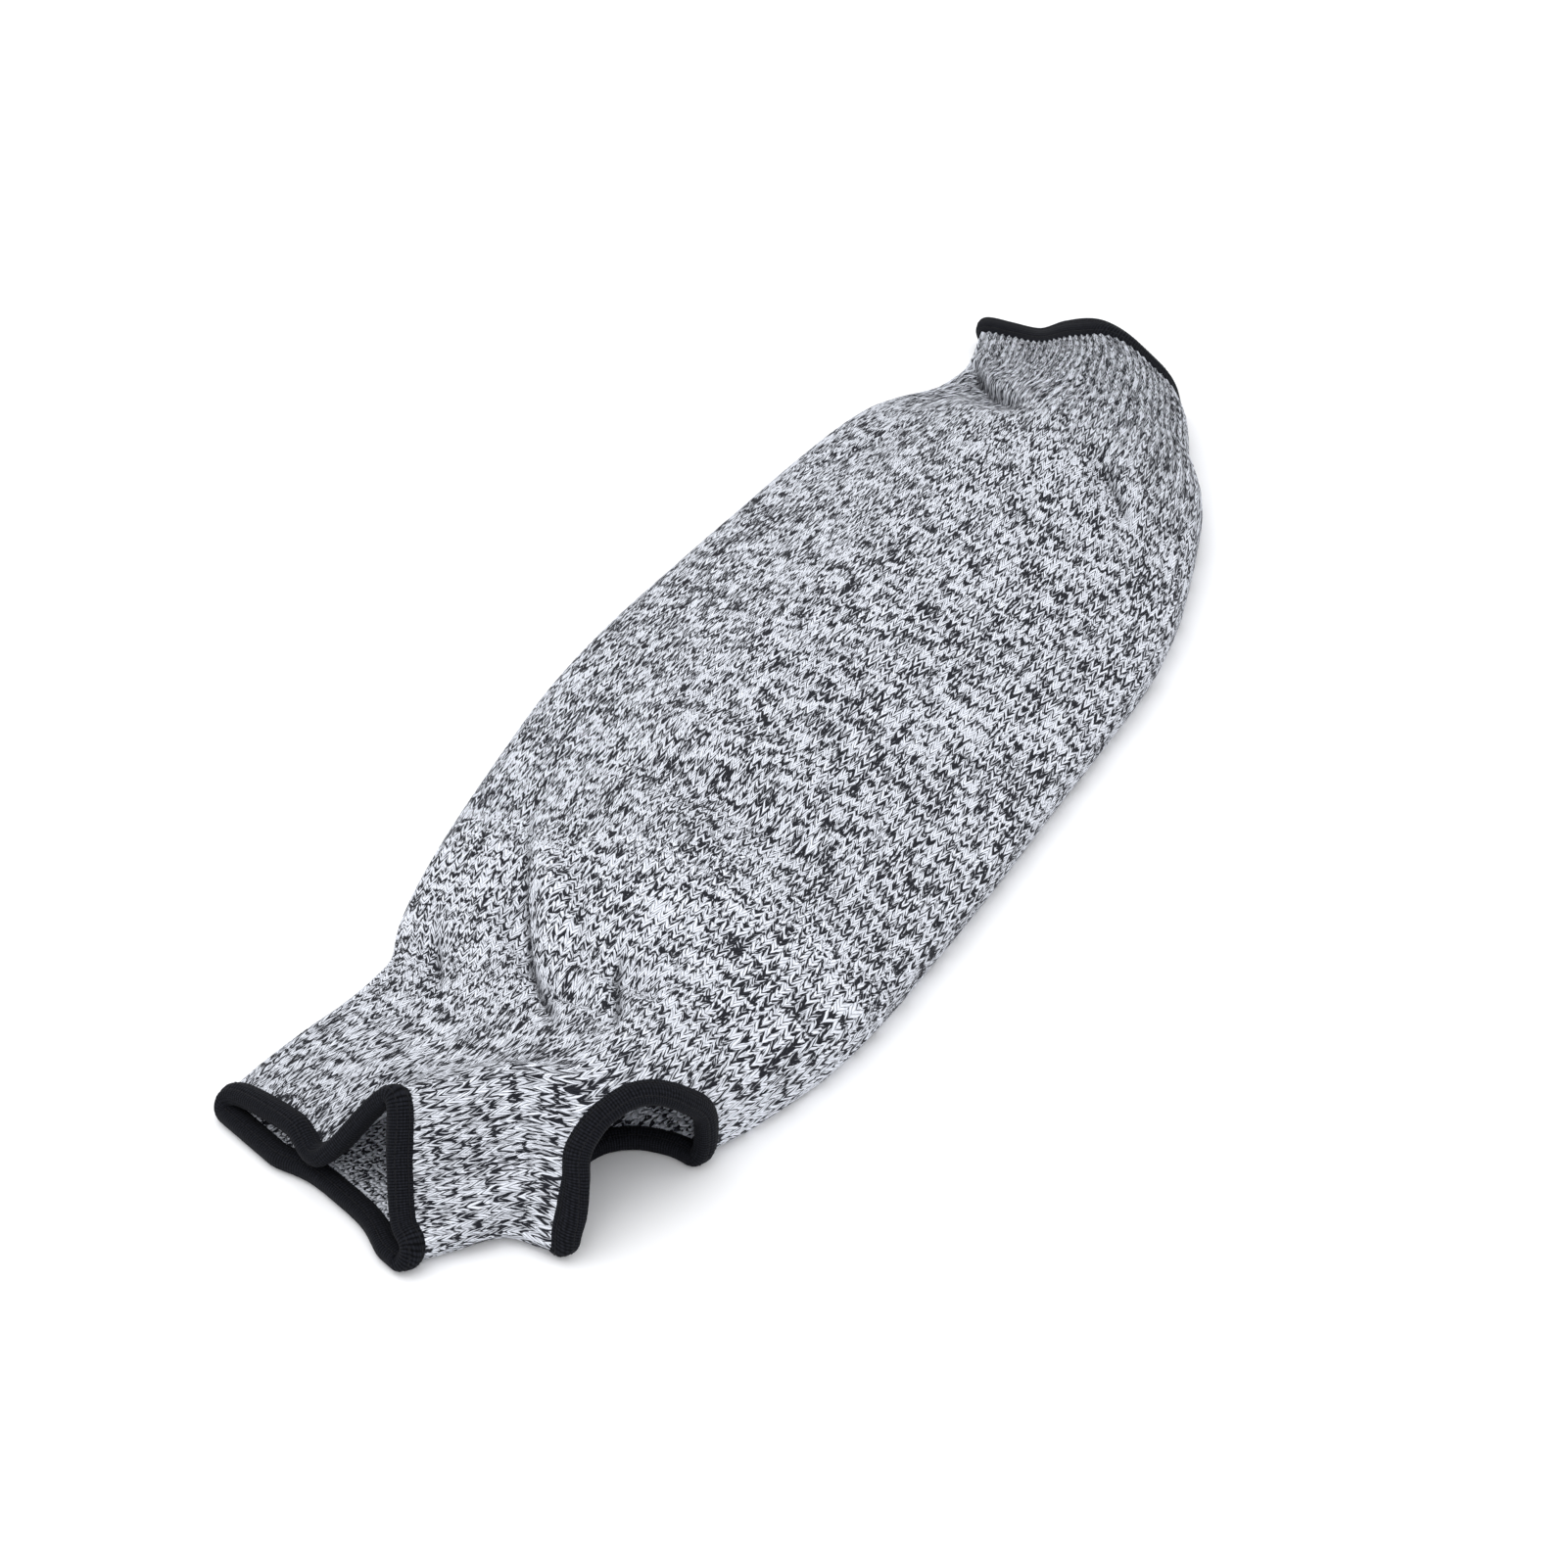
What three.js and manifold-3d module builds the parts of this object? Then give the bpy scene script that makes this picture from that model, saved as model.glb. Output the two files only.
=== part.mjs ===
// Knitted cut resistant sleeve, lying flat on a table.
// Millimetres, +Z up, +X from the hand end to the upper-arm end, thumb hole on the -Y side.
import * as THREE from 'three';
import Module from 'manifold-3d';

// Driving sizes, millimetres
const sleeveLength = 450; // along the middle of the cloth, mouth to mouth
const bodyWidth = 160; // widest part lying flat
const bodyHeight = 32; // how high the loose body bulges
const clothThickness = 2.0; // knitted wall
const bindingWidth = 7.0; // black band, measured along the cloth
const bindingThickness = 5.4; // black band, measured through the cloth
const bindingOverhang = 1.5; // band beyond the cut edge of the cloth
const seamGap = 0.3; // room between cloth and band
const restGap = 0.1; // band above the table

// How finely the cloth is faceted
const rowZones = [
  { upTo: 0.36, rows: 23 },
  { upTo: 0.80, rows: 10 },
  { upTo: 1.00, rows: 11 },
];
const columnCount = 34;
const sectionSteps = 120;
const mouthSteps = 40;
const holeSteps = 32;
const bandSteps = 8;
const bendWeight = 0.6;
const plugHalf = 4; // the thumb hole's cutter, either side of the cloth's middle surface
const plugRings = 4;
const nearAlong = 0.004; // step along the sleeve, as a share of its length, that gives a direction
const nearRound = 0.006; // step round it, as a share of its girth

// Outline seen from above. Where each section's far and near folds lie:
// x as a share of the sleeve length, y as a share of half the body width.
const outline = [
  { farX: -0.463, farY: 0.752, nearX: -0.512, nearY: -0.184 },
  { farX: -0.424, farY: 0.728, nearX: -0.480, nearY: -0.312 },
  { farX: -0.391, farY: 0.702, nearX: -0.458, nearY: -0.436 },
  { farX: -0.362, farY: 0.664, nearX: -0.451, nearY: -0.616 },
  { farX: -0.336, farY: 0.638, nearX: -0.402, nearY: -0.697 },
  { farX: -0.311, farY: 0.634, nearX: -0.340, nearY: -0.785 },
  { farX: -0.282, farY: 0.709, nearX: -0.293, nearY: -0.862 },
  { farX: -0.247, farY: 0.769, nearX: -0.244, nearY: -0.934 },
  { farX: -0.196, farY: 0.834, nearX: -0.191, nearY: -0.962 },
  { farX: -0.127, farY: 0.903, nearX: -0.127, nearY: -0.965 },
  { farX: -0.044, farY: 0.972, nearX: -0.044, nearY: -0.960 },
  { farX: 0.033, farY: 0.992, nearX: 0.033, nearY: -0.944 },
  { farX: 0.124, farY: 0.970, nearX: 0.124, nearY: -0.930 },
  { farX: 0.200, farY: 0.945, nearX: 0.191, nearY: -0.909 },
  { farX: 0.262, farY: 0.924, nearX: 0.249, nearY: -0.850 },
  { farX: 0.318, farY: 0.894, nearX: 0.298, nearY: -0.766 },
  { farX: 0.351, farY: 0.856, nearX: 0.333, nearY: -0.697 },
  { farX: 0.373, farY: 0.792, nearX: 0.367, nearY: -0.622 },
  { farX: 0.398, farY: 0.688, nearX: 0.396, nearY: -0.516 },
  { farX: 0.422, farY: 0.662, nearX: 0.415, nearY: -0.428 },
  { farX: 0.447, farY: 0.659, nearX: 0.438, nearY: -0.359 },
  { farX: 0.478, farY: 0.712, nearX: 0.464, nearY: -0.278 },
  { farX: 0.507, farY: 0.775, nearX: 0.492, nearY: -0.146 },
];

// Height of the upper layer across each section, as shares of the body height.
// lean is how far the section tips along the sleeve as it rises, nearBlunt how soon the near side rises.
const heights = [
  { along: 0.00, fold: 0.08, lean: 0.60, nearBlunt: 0.80,
    nearEdge: 0.41, nearSlope: 0.78, nearTop: 1.11, middle: 0.33, farTop: 0.37, farEdge: 0.36 },
  { along: 0.06, fold: 0.12, lean: 0.60, nearBlunt: 0.60,
    nearEdge: 0.84, nearSlope: 1.22, nearTop: 1.03, middle: 0.56, farTop: 0.47, farEdge: 0.41 },
  { along: 0.12, fold: 0.16, lean: 0.60, nearBlunt: 0.40,
    nearEdge: 1.31, nearSlope: 1.25, nearTop: 1.03, middle: 0.78, farTop: 0.62, farEdge: 0.50 },
  { along: 0.20, fold: 0.19, lean: 0.35, nearBlunt: 0.50,
    nearEdge: 1.06, nearSlope: 1.09, nearTop: 1.00, middle: 0.88, farTop: 0.75, farEdge: 0.59 },
  { along: 0.30, fold: 0.20, lean: 0.10, nearBlunt: 0.70,
    nearEdge: 0.81, nearSlope: 0.94, nearTop: 1.00, middle: 0.97, farTop: 0.88, farEdge: 0.69 },
  { along: 0.50, fold: 0.20, lean: 0.00, nearBlunt: 0.75,
    nearEdge: 0.75, nearSlope: 0.88, nearTop: 0.97, middle: 1.00, farTop: 0.94, farEdge: 0.75 },
  { along: 0.70, fold: 0.20, lean: 0.00, nearBlunt: 0.75,
    nearEdge: 0.78, nearSlope: 0.94, nearTop: 1.03, middle: 1.06, farTop: 0.97, farEdge: 0.78 },
  { along: 0.85, fold: 0.22, lean: -0.08, nearBlunt: 0.70,
    nearEdge: 0.88, nearSlope: 1.06, nearTop: 1.12, middle: 1.09, farTop: 0.91, farEdge: 0.66 },
  { along: 0.93, fold: 0.23, lean: -0.20, nearBlunt: 0.70,
    nearEdge: 0.91, nearSlope: 1.09, nearTop: 1.12, middle: 0.97, farTop: 0.72, farEdge: 0.50 },
  { along: 1.00, fold: 0.13, lean: -0.38, nearBlunt: 0.60,
    nearEdge: 0.95, nearSlope: 1.06, nearTop: 1.03, middle: 0.78, farTop: 0.47, farEdge: 0.40 },
];

// Where the height columns sit across a section: -1 at the near fold, 1 at the far fold
const acrossOf = { nearEdge: -0.85, nearSlope: -0.60, nearTop: -0.35, middle: 0, farTop: 0.35, farEdge: 0.70 };
const farBlunt = 0.8; // how soon the far side rises
const bluntFrom = 0.6; // near and far bluntness change over within this much of the middle
const bandSquare = 0.8; // the bands' section: 1 is an ellipse, less is squarer
const mouthBow = { depth: 4.0, across: -0.22, wide: 0.62, fade: 0.06 }; // lower edge drawn in at the hand mouth
const flatShare = 0.35; // how far a fold reaches into the flat underside
const mouthLiftShare = 0.07; // share of the length over which the cloth comes down from its bands

// Folds and dents of the upper layer. x and long as shares of the sleeve length, y as a share of
// half the body width, wide, up and step as shares of the body height, turn in degrees from +X.
// up raises the whole patch; step raises one side of its middle line and lowers the other.
const folds = [
  { x: -0.268, y: 0.22, turn: 37, long: 0.085, wide: 0.42, up: 0.02, step: -0.20 }, // long crease
  { x: -0.336, y: -0.14, turn: 58, long: 0.036, wide: 0.30, up: -0.03, step: -0.12 }, // end of the crease
  { x: -0.318, y: -0.34, turn: 41, long: 0.034, wide: 0.24, up: -0.09, step: 0 }, // dent by the crease
  { x: -0.309, y: 0.48, turn: 39, long: 0.028, wide: 0.24, up: -0.06, step: 0 }, // dent by the far edge
  { x: -0.322, y: -0.70, turn: 45, long: 0.036, wide: 0.26, up: -0.08, step: 0 }, // dent by the thumb hole
  { x: -0.200, y: -0.17, turn: 30, long: 0.105, wide: 1.10, up: 0.09, step: 0 }, // oval bulge
  { x: -0.135, y: -0.10, turn: 78, long: 0.140, wide: 0.40, up: -0.07, step: 0 }, // soft valley across
  { x: -0.080, y: 0.00, turn: 78, long: 0.140, wide: 0.45, up: 0.06, step: 0 }, // soft ridge beside it
  { x: 0.100, y: -0.38, turn: 12, long: 0.170, wide: 0.60, up: -0.06, step: 0 }, // shallow hollow, near side
  { x: 0.140, y: 0.42, turn: -8, long: 0.130, wide: 0.55, up: -0.05, step: 0 }, // shallow hollow, far side
  { x: 0.372, y: 0.30, turn: 53, long: 0.055, wide: 0.40, up: -0.17, step: 0 }, // dent below the upper cuff
  { x: 0.318, y: -0.32, turn: 15, long: 0.036, wide: 0.24, up: -0.10, step: 0 }, // nick beside the upper cuff
];

// Cut edge of the thumb hole on the cloth: along as a share of the length, round as a share of the
// girth, counted from the middle of the underside over the far fold, the top and the near fold.
const thumbHole = [
  { along: 0.0960, round: 0.782 },
  { along: 0.0930, round: 0.752 },
  { along: 0.0895, round: 0.719 },
  { along: 0.0885, round: 0.692 },
  { along: 0.0925, round: 0.671 },
  { along: 0.1010, round: 0.655 },
  { along: 0.1140, round: 0.654 },
  { along: 0.1290, round: 0.671 },
  { along: 0.1460, round: 0.698 },
  { along: 0.1600, round: 0.727 },
  { along: 0.1670, round: 0.763 },
  { along: 0.1690, round: 0.802 },
  { along: 0.1670, round: 0.828 },
  { along: 0.1610, round: 0.854 },
  { along: 0.1500, round: 0.872 },
  { along: 0.1350, round: 0.874 },
  { along: 0.1190, round: 0.857 },
  { along: 0.1050, round: 0.826 },
];

// The underside is raised round the thumb hole to make room for its band
const holeRise = { x: -0.400, y: -0.56, long: 0.115, wide: 0.52, level: 0.6 };

// Worked-out sizes
const halfWidth = bodyWidth / 2;
const halfCloth = clothThickness / 2;
const halfBand = bindingThickness / 2;
const bandRise = halfBand - halfCloth + restGap;
const sectionsMade = new Map();

// Smooth curve through the values of one named column
function hermite(places, values, at) {
  let i = 0;
  while (i < places.length - 2 && at > places[i + 1]) {
    i += 1;
  }
  const slopeAt = (k) => {
    const before = Math.max(k - 1, 0);
    const after = Math.min(k + 1, places.length - 1);
    return (values[after] - values[before]) / (places[after] - places[before]);
  };
  const span = places[i + 1] - places[i];
  const u = (at - places[i]) / span;
  const u2 = u * u;
  const u3 = u2 * u;
  return (2 * u3 - 3 * u2 + 1) * values[i] + (u3 - 2 * u2 + u) * span * slopeAt(i)
    + (3 * u2 - 2 * u3) * values[i + 1] + (u3 - u2) * span * slopeAt(i + 1);
}

function columnAt(table, places, name, at) {
  return hermite(places, table.map((row) => row[name]), at);
}

function smoothStep(value) {
  const u = Math.min(Math.max(value, 0), 1);
  return u * u * (3 - 2 * u);
}

// Share of the length at which each outline row sits
const outlinePlaces = [0];
for (let i = 1; i < outline.length; i += 1) {
  const before = outline[i - 1];
  const here = outline[i];
  const dx = sleeveLength * (here.farX + here.nearX - before.farX - before.nearX) / 2;
  const dy = halfWidth * (here.farY + here.nearY - before.farY - before.nearY) / 2;
  outlinePlaces.push(outlinePlaces[i - 1] + Math.hypot(dx, dy));
}
const middleLength = outlinePlaces[outlinePlaces.length - 1];
for (let i = 0; i < outlinePlaces.length; i += 1) {
  outlinePlaces[i] /= middleLength;
}
const heightPlaces = heights.map((row) => row.along);
const acrossPlaces = [-1, ...Object.values(acrossOf), 1];

// Rise of the underside above its flat rest, as a share of the band's rise
function underRise(along, x, y) {
  const fromMouth = Math.min(along, 1 - along) / mouthLiftShare;
  const mouthPart = fromMouth < 1 ? 1 - smoothStep(fromMouth) : 0;
  const dx = (x / sleeveLength - holeRise.x) / holeRise.long;
  const dy = (y / halfWidth - holeRise.y) / holeRise.wide;
  const holePart = smoothStep((1 - dx * dx - dy * dy) / holeRise.level);
  return 1 - (1 - mouthPart) * (1 - holePart);
}

// Height added by the table of folds at a place seen from above
function foldRise(x, y) {
  let rise = 0;
  for (const fold of folds) {
    const angle = THREE.MathUtils.degToRad(fold.turn);
    const dx = x - fold.x * sleeveLength;
    const dy = y - fold.y * halfWidth;
    const a = (dx * Math.cos(angle) + dy * Math.sin(angle)) / (fold.long * sleeveLength);
    const b = (dy * Math.cos(angle) - dx * Math.sin(angle)) / (fold.wide * bodyHeight);
    const r2 = a * a + b * b;
    if (r2 < 1) {
      rise += (1 - r2) * (1 - r2) * (fold.up + fold.step * 2 * b) * bodyHeight;
    }
  }
  return rise;
}

// One closed section of the cloth's middle surface, with its running girth
function sectionAt(along) {
  const key = along.toFixed(5);
  if (sectionsMade.has(key)) {
    return sectionsMade.get(key);
  }
  const far = new THREE.Vector2(
    sleeveLength * columnAt(outline, outlinePlaces, 'farX', along),
    halfWidth * columnAt(outline, outlinePlaces, 'farY', along),
  );
  const near = new THREE.Vector2(
    sleeveLength * columnAt(outline, outlinePlaces, 'nearX', along),
    halfWidth * columnAt(outline, outlinePlaces, 'nearY', along),
  );
  const chord = far.clone().sub(near);
  const lengthwise = new THREE.Vector2(chord.y, -chord.x).normalize();
  const foldShare = columnAt(heights, heightPlaces, 'fold', along);
  const lean = columnAt(heights, heightPlaces, 'lean', along);
  const nearBlunt = columnAt(heights, heightPlaces, 'nearBlunt', along);
  const tops = Object.keys(acrossOf).map((name) => columnAt(heights, heightPlaces, name, along));
  const topValues = [tops[0], ...tops, tops[tops.length - 1]];
  const points = [];
  for (let i = 0; i <= sectionSteps; i += 1) {
    const angle = (2 * i / sectionSteps - 0.5) * Math.PI;
    const across = Math.cos(angle);
    const side = Math.sin(angle);
    const x = near.x + chord.x * (across + 1) / 2;
    const y = near.y + chord.y * (across + 1) / 2;
    const floorZ = halfCloth + bandRise * underRise(along, x, y);
    const foldZ = floorZ + foldShare * bodyHeight;
    let z;
    if (side >= 0) {
      const blunt = nearBlunt + (farBlunt - nearBlunt) * smoothStep((across + bluntFrom) / (2 * bluntFrom));
      const top = hermite(acrossPlaces, topValues, across) * bodyHeight + foldRise(x, y) * smoothStep(2 * side);
      z = foldZ + (top - foldZ) * side ** blunt;
    } else {
      const reach = 1 - Math.min(-side / flatShare, 1);
      z = floorZ + (foldZ - floorZ) * reach * reach;
    }
    const bowPlace = (across - mouthBow.across) / mouthBow.wide;
    const bow = side < 0 ? mouthBow.depth * smoothStep(1 - bowPlace * bowPlace) * smoothStep(-2 * side) : 0;
    const shift = lean * (z - foldShare * bodyHeight - halfCloth) + bow * (1 - smoothStep(along / mouthBow.fade));
    points.push(new THREE.Vector3(x + lengthwise.x * shift, y + lengthwise.y * shift, z));
  }
  const girth = [0];
  const bend = [0];
  for (let i = 1; i < points.length; i += 1) {
    girth.push(girth[i - 1] + points[i].distanceTo(points[i - 1]));
    const after = points[i === points.length - 1 ? 1 : i + 1];
    const turn = points[i].clone().sub(points[i - 1]).angleTo(after.clone().sub(points[i]));
    bend.push(bend[i - 1] + turn);
  }
  const section = { points, girth, bend };
  sectionsMade.set(key, section);
  return section;
}

// Point of the middle surface at a share of the length and a share of the girth
function placeOn(along, round) {
  const inside = Math.min(Math.max(along, 0), 1);
  const { points, girth } = sectionAt(inside);
  const wanted = (round - Math.floor(round)) * girth[girth.length - 1];
  let low = 0;
  let high = girth.length - 1;
  while (high - low > 1) {
    const mid = (low + high) >> 1;
    if (girth[mid] > wanted) {
      high = mid;
    } else {
      low = mid;
    }
  }
  const u = (wanted - girth[low]) / (girth[high] - girth[low]);
  return points[low].clone().lerp(points[high], u);
}

// The surface's own directions at a place: along the sleeve, round it and outward
function frameOn(along, round) {
  const a0 = Math.max(along - nearAlong, 0);
  const a1 = Math.min(along + nearAlong, 1);
  const lengthwise = placeOn(a1, round).sub(placeOn(a0, round)).normalize();
  const around = placeOn(along, round + nearRound).sub(placeOn(along, round - nearRound)).normalize();
  const outward = new THREE.Vector3().crossVectors(lengthwise, around).normalize().negate();
  return { point: placeOn(along, round), lengthwise, outward };
}

// Shares of the girth for the columns of a section, closer together where the cloth bends
function columnsAt(along, count) {
  const { girth, bend } = sectionAt(along);
  const total = girth.length - 1;
  const measure = girth.map((g, i) => (1 - bendWeight) * g / girth[total] + bendWeight * bend[i] / bend[total]);
  const shares = [];
  let i = 0;
  for (let k = 0; k < count; k += 1) {
    const wanted = k / count;
    while (measure[i + 1] < wanted) {
      i += 1;
    }
    const u = (wanted - measure[i]) / (measure[i + 1] - measure[i]);
    shares.push((girth[i] + u * (girth[i + 1] - girth[i])) / girth[total]);
  }
  return shares;
}

// Shares of the length at which the cloth has a row of facets
const rowPlaces = [0];
for (const zone of rowZones) {
  const from = rowPlaces[rowPlaces.length - 1];
  for (let i = 1; i <= zone.rows; i += 1) {
    rowPlaces.push(from + (zone.upTo - from) * i / zone.rows);
  }
}

const wasm = await Module();
wasm.setup();

function toSolid(points, faces) {
  const vertProperties = new Float32Array(points.length * 3);
  points.forEach((p, i) => p.toArray(vertProperties, 3 * i));
  const triVerts = new Uint32Array(faces.flat());
  return new wasm.Manifold(new wasm.Mesh({ numProp: 3, vertProperties, triVerts }));
}

// Closed tube of cloth: outer and inner faces a set distance either side of the middle surface,
// with one more row past each mouth when it has to reach past them
function clothTube(half, reachPast) {
  const rows = rowPlaces.map((along) => ({ along, past: 0 }));
  if (reachPast > 0) {
    rows.unshift({ along: 0, past: -reachPast });
    rows.push({ along: 1, past: reachPast });
  }
  const points = [];
  const faces = [];
  for (const side of [1, -1]) {
    for (const row of rows) {
      for (const round of columnsAt(row.along, columnCount)) {
        const frame = frameOn(row.along, round);
        const point = frame.point.addScaledVector(frame.outward, side * half);
        points.push(point.addScaledVector(frame.lengthwise, row.past));
      }
    }
  }
  const id = (side, i, j) => (side * rows.length + i) * columnCount + (j % columnCount);
  const quad = (a, b, c, d) => faces.push([a, b, c], [a, c, d]);
  const last = rows.length - 1;
  for (let j = 0; j < columnCount; j += 1) {
    for (let i = 0; i < last; i += 1) {
      quad(id(0, i, j), id(0, i, j + 1), id(0, i + 1, j + 1), id(0, i + 1, j));
      quad(id(1, i, j), id(1, i + 1, j), id(1, i + 1, j + 1), id(1, i, j + 1));
    }
    quad(id(0, 0, j), id(1, 0, j), id(1, 0, j + 1), id(0, 0, j + 1));
    quad(id(0, last, j), id(0, last, j + 1), id(1, last, j + 1), id(1, last, j));
  }
  return toSolid(points, faces);
}

// The thumb hole's edge as a closed smooth loop of places on the cloth
const holeCentre = { along: 0, round: 0 };
for (const row of thumbHole) {
  holeCentre.along += row.along / thumbHole.length;
  holeCentre.round += row.round / thumbHole.length;
}
const holeCurve = new THREE.CatmullRomCurve3(
  thumbHole.map((row) => new THREE.Vector3(row.along, row.round, 0)),
  true,
);
const holeLoop = [];
for (let i = 0; i < holeSteps; i += 1) {
  const place = holeCurve.getPoint(i / holeSteps);
  holeLoop.push({ along: place.x, round: place.y });
}

// Frame reached from a place on the cloth by moving along its surface, past a mouth if need be
function frameAfter(along, round, move) {
  const a0 = Math.max(along - nearAlong, 0);
  const a1 = Math.min(along + nearAlong, 1);
  const perAlong = placeOn(a1, round).sub(placeOn(a0, round)).divideScalar(a1 - a0);
  const perRound = placeOn(along, round + nearRound).sub(placeOn(along, round - nearRound)).divideScalar(2 * nearRound);
  const aa = perAlong.dot(perAlong);
  const ar = perAlong.dot(perRound);
  const rr = perRound.dot(perRound);
  const ma = move.dot(perAlong);
  const mr = move.dot(perRound);
  const det = aa * rr - ar * ar;
  const newAlong = along + (ma * rr - mr * ar) / det;
  const newRound = round + (mr * aa - ma * ar) / det;
  const inside = Math.min(Math.max(newAlong, 0), 1);
  const frame = frameOn(inside, newRound);
  frame.point.addScaledVector(frame.lengthwise, (newAlong - inside) * Math.sqrt(aa));
  return frame;
}

// Directions along an edge loop: outward from the cloth's face, and away from the cloth
function edgeFrames(loop, awayFrom) {
  const frames = loop.map((place) => frameOn(place.along, place.round));
  return frames.map((frame, i) => {
    const before = frames[(i + loop.length - 1) % loop.length].point;
    const after = frames[(i + 1) % loop.length].point;
    const forward = after.clone().sub(before).normalize();
    const away = new THREE.Vector3().crossVectors(forward, frame.outward).normalize();
    const outward = new THREE.Vector3().crossVectors(away, forward).normalize();
    if (away.dot(awayFrom(frame, loop[i])) < 0) {
      away.negate();
    }
    return { along: loop[i].along, round: loop[i].round, point: frame.point, outward, away };
  });
}

const holeAway = (frame) => placeOn(holeCentre.along, holeCentre.round).sub(frame.point);
const mouthAway = (sign) => (frame) => frame.lengthwise.clone().multiplyScalar(sign);
const holeFrames = edgeFrames(holeLoop, holeAway);

// Plug that cuts the thumb hole, its rim drawn in by the given amount
function holePlug(half, drawnIn) {
  const points = [];
  const faces = [];
  const centre = frameOn(holeCentre.along, holeCentre.round);
  for (const side of [1, -1]) {
    points.push(centre.point.clone().addScaledVector(centre.outward, side * half));
    for (let ring = 1; ring <= plugRings; ring += 1) {
      holeLoop.forEach((place, i) => {
        const share = ring / plugRings;
        const along = holeCentre.along + (place.along - holeCentre.along) * share;
        const round = holeCentre.round + (place.round - holeCentre.round) * share;
        const frame = frameOn(along, round);
        const out = ring === plugRings ? holeFrames[i].outward : frame.outward;
        points.push(frame.point.addScaledVector(out, side * half).addScaledVector(holeFrames[i].away, drawnIn * share));
      });
    }
  }
  const perSide = 1 + plugRings * holeSteps;
  const id = (side, ring, j) => side * perSide + (ring === 0 ? 0 : 1 + (ring - 1) * holeSteps + (j % holeSteps));
  for (const side of [0, 1]) {
    for (let j = 0; j < holeSteps; j += 1) {
      const add = (a, b, c) => faces.push(side === 1 ? [a, b, c] : [a, c, b]);
      add(id(side, 0, 0), id(side, 1, j), id(side, 1, j + 1));
      for (let ring = 1; ring < plugRings; ring += 1) {
        add(id(side, ring, j), id(side, ring + 1, j), id(side, ring + 1, j + 1));
        add(id(side, ring, j), id(side, ring + 1, j + 1), id(side, ring, j + 1));
      }
    }
  }
  for (let j = 0; j < holeSteps; j += 1) {
    faces.push([id(0, plugRings, j), id(1, plugRings, j + 1), id(1, plugRings, j)]);
    faces.push([id(0, plugRings, j), id(0, plugRings, j + 1), id(1, plugRings, j + 1)]);
  }
  return toSolid(points, faces);
}

// Solid rounded band following an edge loop
function band(frames) {
  const points = [];
  const faces = [];
  const inset = bindingWidth / 2 - bindingOverhang;
  for (const frame of frames) {
    for (let k = 0; k < bandSteps; k += 1) {
      const angle = 2 * Math.PI * (k + 0.5) / bandSteps;
      const c = Math.cos(angle);
      const s = Math.sin(angle);
      const wide = Math.sign(c) * Math.abs(c) ** bandSquare * bindingWidth / 2;
      const thick = Math.sign(s) * Math.abs(s) ** bandSquare * halfBand;
      const here = frameAfter(frame.along, frame.round, frame.away.clone().multiplyScalar(wide - inset));
      points.push(here.point.addScaledVector(here.outward, thick));
    }
  }
  const id = (i, k) => (i % frames.length) * bandSteps + (k % bandSteps);
  for (let i = 0; i < frames.length; i += 1) {
    for (let k = 0; k < bandSteps; k += 1) {
      faces.push([id(i, k), id(i + 1, k), id(i + 1, k + 1)]);
      faces.push([id(i, k), id(i + 1, k + 1), id(i, k + 1)]);
    }
  }
  const a = points[1].clone().sub(points[0]);
  const b = points[bandSteps].clone().sub(points[0]);
  const outOfBand = points[0].clone().sub(frames[0].point.clone().addScaledVector(frames[0].away, -inset));
  if (b.cross(a).dot(outOfBand) < 0) {
    faces.forEach((face) => face.reverse());
  }
  return toSolid(points, faces);
}

function mouthFrames(along, sign) {
  const loop = columnsAt(along, mouthSteps).map((round) => ({ along, round }));
  return edgeFrames(loop, mouthAway(sign));
}

const clothWithoutHole = clothTube(halfCloth, 0);
const cloth = clothWithoutHole.subtract(holePlug(plugHalf, 0));
const room = clothTube(halfCloth + seamGap, seamGap);
const roomWithHole = room.subtract(holePlug(plugHalf, seamGap));
const handBand = band(mouthFrames(0, -1)).subtract(room);
const upperBand = band(mouthFrames(1, 1)).subtract(room);
const thumbBand = band(holeFrames).subtract(roomWithHole);

function toMesh(name, solid, colour, roughness) {
  const { vertProperties, triVerts } = solid.getMesh();
  const geometry = new THREE.BufferGeometry();
  geometry.setAttribute('position', new THREE.BufferAttribute(new Float32Array(vertProperties), 3));
  geometry.setIndex(new THREE.BufferAttribute(new Uint32Array(triVerts), 1));
  geometry.computeVertexNormals();
  const material = new THREE.MeshStandardMaterial({ color: colour, roughness, metalness: 0 });
  const mesh = new THREE.Mesh(geometry, material);
  mesh.name = name;
  return mesh;
}

const group = new THREE.Group();
group.name = 'cut_resistant_sleeve';
group.add(toMesh('knit_tube', cloth, 0xa4a8b1, 0.95));
group.add(toMesh('hand_binding', handBand, 0x1e2025, 0.9));
group.add(toMesh('thumb_binding', thumbBand, 0x1e2025, 0.9));
group.add(toMesh('upper_binding', upperBand, 0x1e2025, 0.9));

export default group;
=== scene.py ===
"""Knitted cut resistant sleeve lying flat, black sewn bands round its two mouths and its thumb hole."""

import math

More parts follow.
